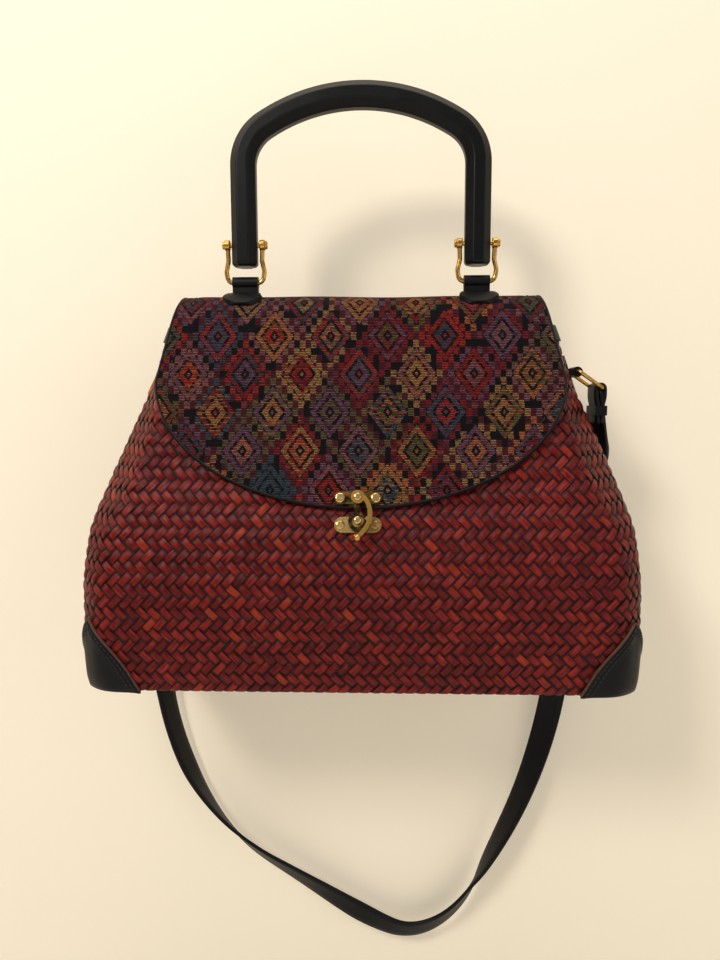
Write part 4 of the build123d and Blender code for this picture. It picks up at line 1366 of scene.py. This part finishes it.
@dataclass(frozen=True)
class Lamp:
    """One soft area light."""

    name: str
    place: tuple
    size: float
    power: float
    colour: tuple = (1.0, 1.0, 1.0)


@dataclass
class Studio:
    """Camera at the photograph's viewing angle, soft light, pale floor and wall."""

    place: tuple = (0.0155, -0.4635, -0.1765)
    lens: float = 27.04
    pitch: float = 6.4
    roll: float = -0.15
    yaw: float = 2.0
    wall_y: float = 0.082
    floor_z: float = -0.66
    reach: float = 2.0
    wall_top: float = 1.6
    wall_colour: tuple = srgb(248, 234, 208)
    floor_colour: tuple = srgb(214, 210, 204)
    sky: tuple = (0.95, 0.97, 1.0)
    sky_strength: float = 0.22
    middle: tuple = (0.0, 0.0, -0.25)
    lights: tuple = (
        Lamp("key", (-0.75, -1.1, 0.75), 0.4, 15.0, (1.0, 0.97, 0.92)),
        Lamp("fill", (1.1, -0.9, 0.1), 0.9, 3.0),
        Lamp("low", (0.1, -1.1, -0.75), 0.7, 1.5),
        Lamp("top", (0.0, -0.15, 0.9), 0.8, 5.0),
    )

    def camera(self) -> None:
        """Make the camera."""
        data = bpy.data.cameras.new("camera")
        data.lens = self.lens
        data.sensor_width = 36.0
        data.clip_start = 0.01
        made = bpy.data.objects.new("camera", data)
        turn = (
            Matrix.Rotation(math.radians(self.yaw), 4, "Z")
            @ Matrix.Rotation(math.radians(90 - self.pitch), 4, "X")
            @ Matrix.Rotation(math.radians(self.roll), 4, "Z")
        )
        made.matrix_world = Matrix.Translation(self.place) @ turn
        bpy.context.scene.collection.objects.link(made)
        bpy.context.scene.camera = made

    def _light(self, lamp: Lamp) -> None:
        """Add one lamp, aimed at the object's middle."""
        data = bpy.data.lights.new(lamp.name, "AREA")
        data.size = lamp.size
        data.energy = lamp.power
        data.color = lamp.colour
        made = bpy.data.objects.new(lamp.name, data)
        made.location = lamp.place
        made.rotation_mode = "QUATERNION"
        made.rotation_quaternion = (Vector(self.middle) - Vector(lamp.place)).to_track_quat("-Z", "Y")
        bpy.context.scene.collection.objects.link(made)

    def _sheet(self, name: str, corners, colour) -> None:
        """Add one staged plane."""
        mesh = bpy.data.meshes.new(name)
        mesh.from_pydata(corners, [], [tuple(range(len(corners)))])
        mesh.materials.append(PlainFinish(name, colour).make())
        made = bpy.data.objects.new(name, mesh)
        bpy.context.scene.collection.objects.link(made)

    def build(self) -> None:
        """Light the scene and add floor and wall."""
        world = bpy.data.worlds.new("studio")
        world.use_nodes = True
        background = world.node_tree.nodes["Background"]
        background.inputs[0].default_value = (*self.sky, 1.0)
        background.inputs[1].default_value = self.sky_strength
        bpy.context.scene.world = world
        bpy.context.scene.view_settings.view_transform = "Standard"
        for lamp in self.lights:
            self._light(lamp)
        reach, wall, floor, top = self.reach, self.wall_y, self.floor_z, self.wall_top
        upright = [(-reach, wall, floor), (reach, wall, floor), (reach, wall, top), (-reach, wall, top)]
        self._sheet("backdrop", upright, self.wall_colour)
        level = [(-reach, -reach, floor), (reach, -reach, floor), (reach, wall, floor), (-reach, wall, floor)]
        self._sheet("floor", level, self.floor_colour)


def main() -> None:
    """Build the scene in order."""
    logging.basicConfig(level=logging.INFO, format="%(message)s")
    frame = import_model()
    LOG.info("nodes: %d", len(frame["nodes"]))
    studio = Studio()
    studio.camera()
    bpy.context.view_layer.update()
    finishes = Finishes()
    form = BagForm()
    ShoulderStrap(finishes).build()
    WovenBody(form, finishes).build()
    FlapCover(finishes).build()
    CornerCaps(finishes, form).build()
    RigidNodes(finishes).build()
    studio.build()


if __name__ == "__main__":
    main()
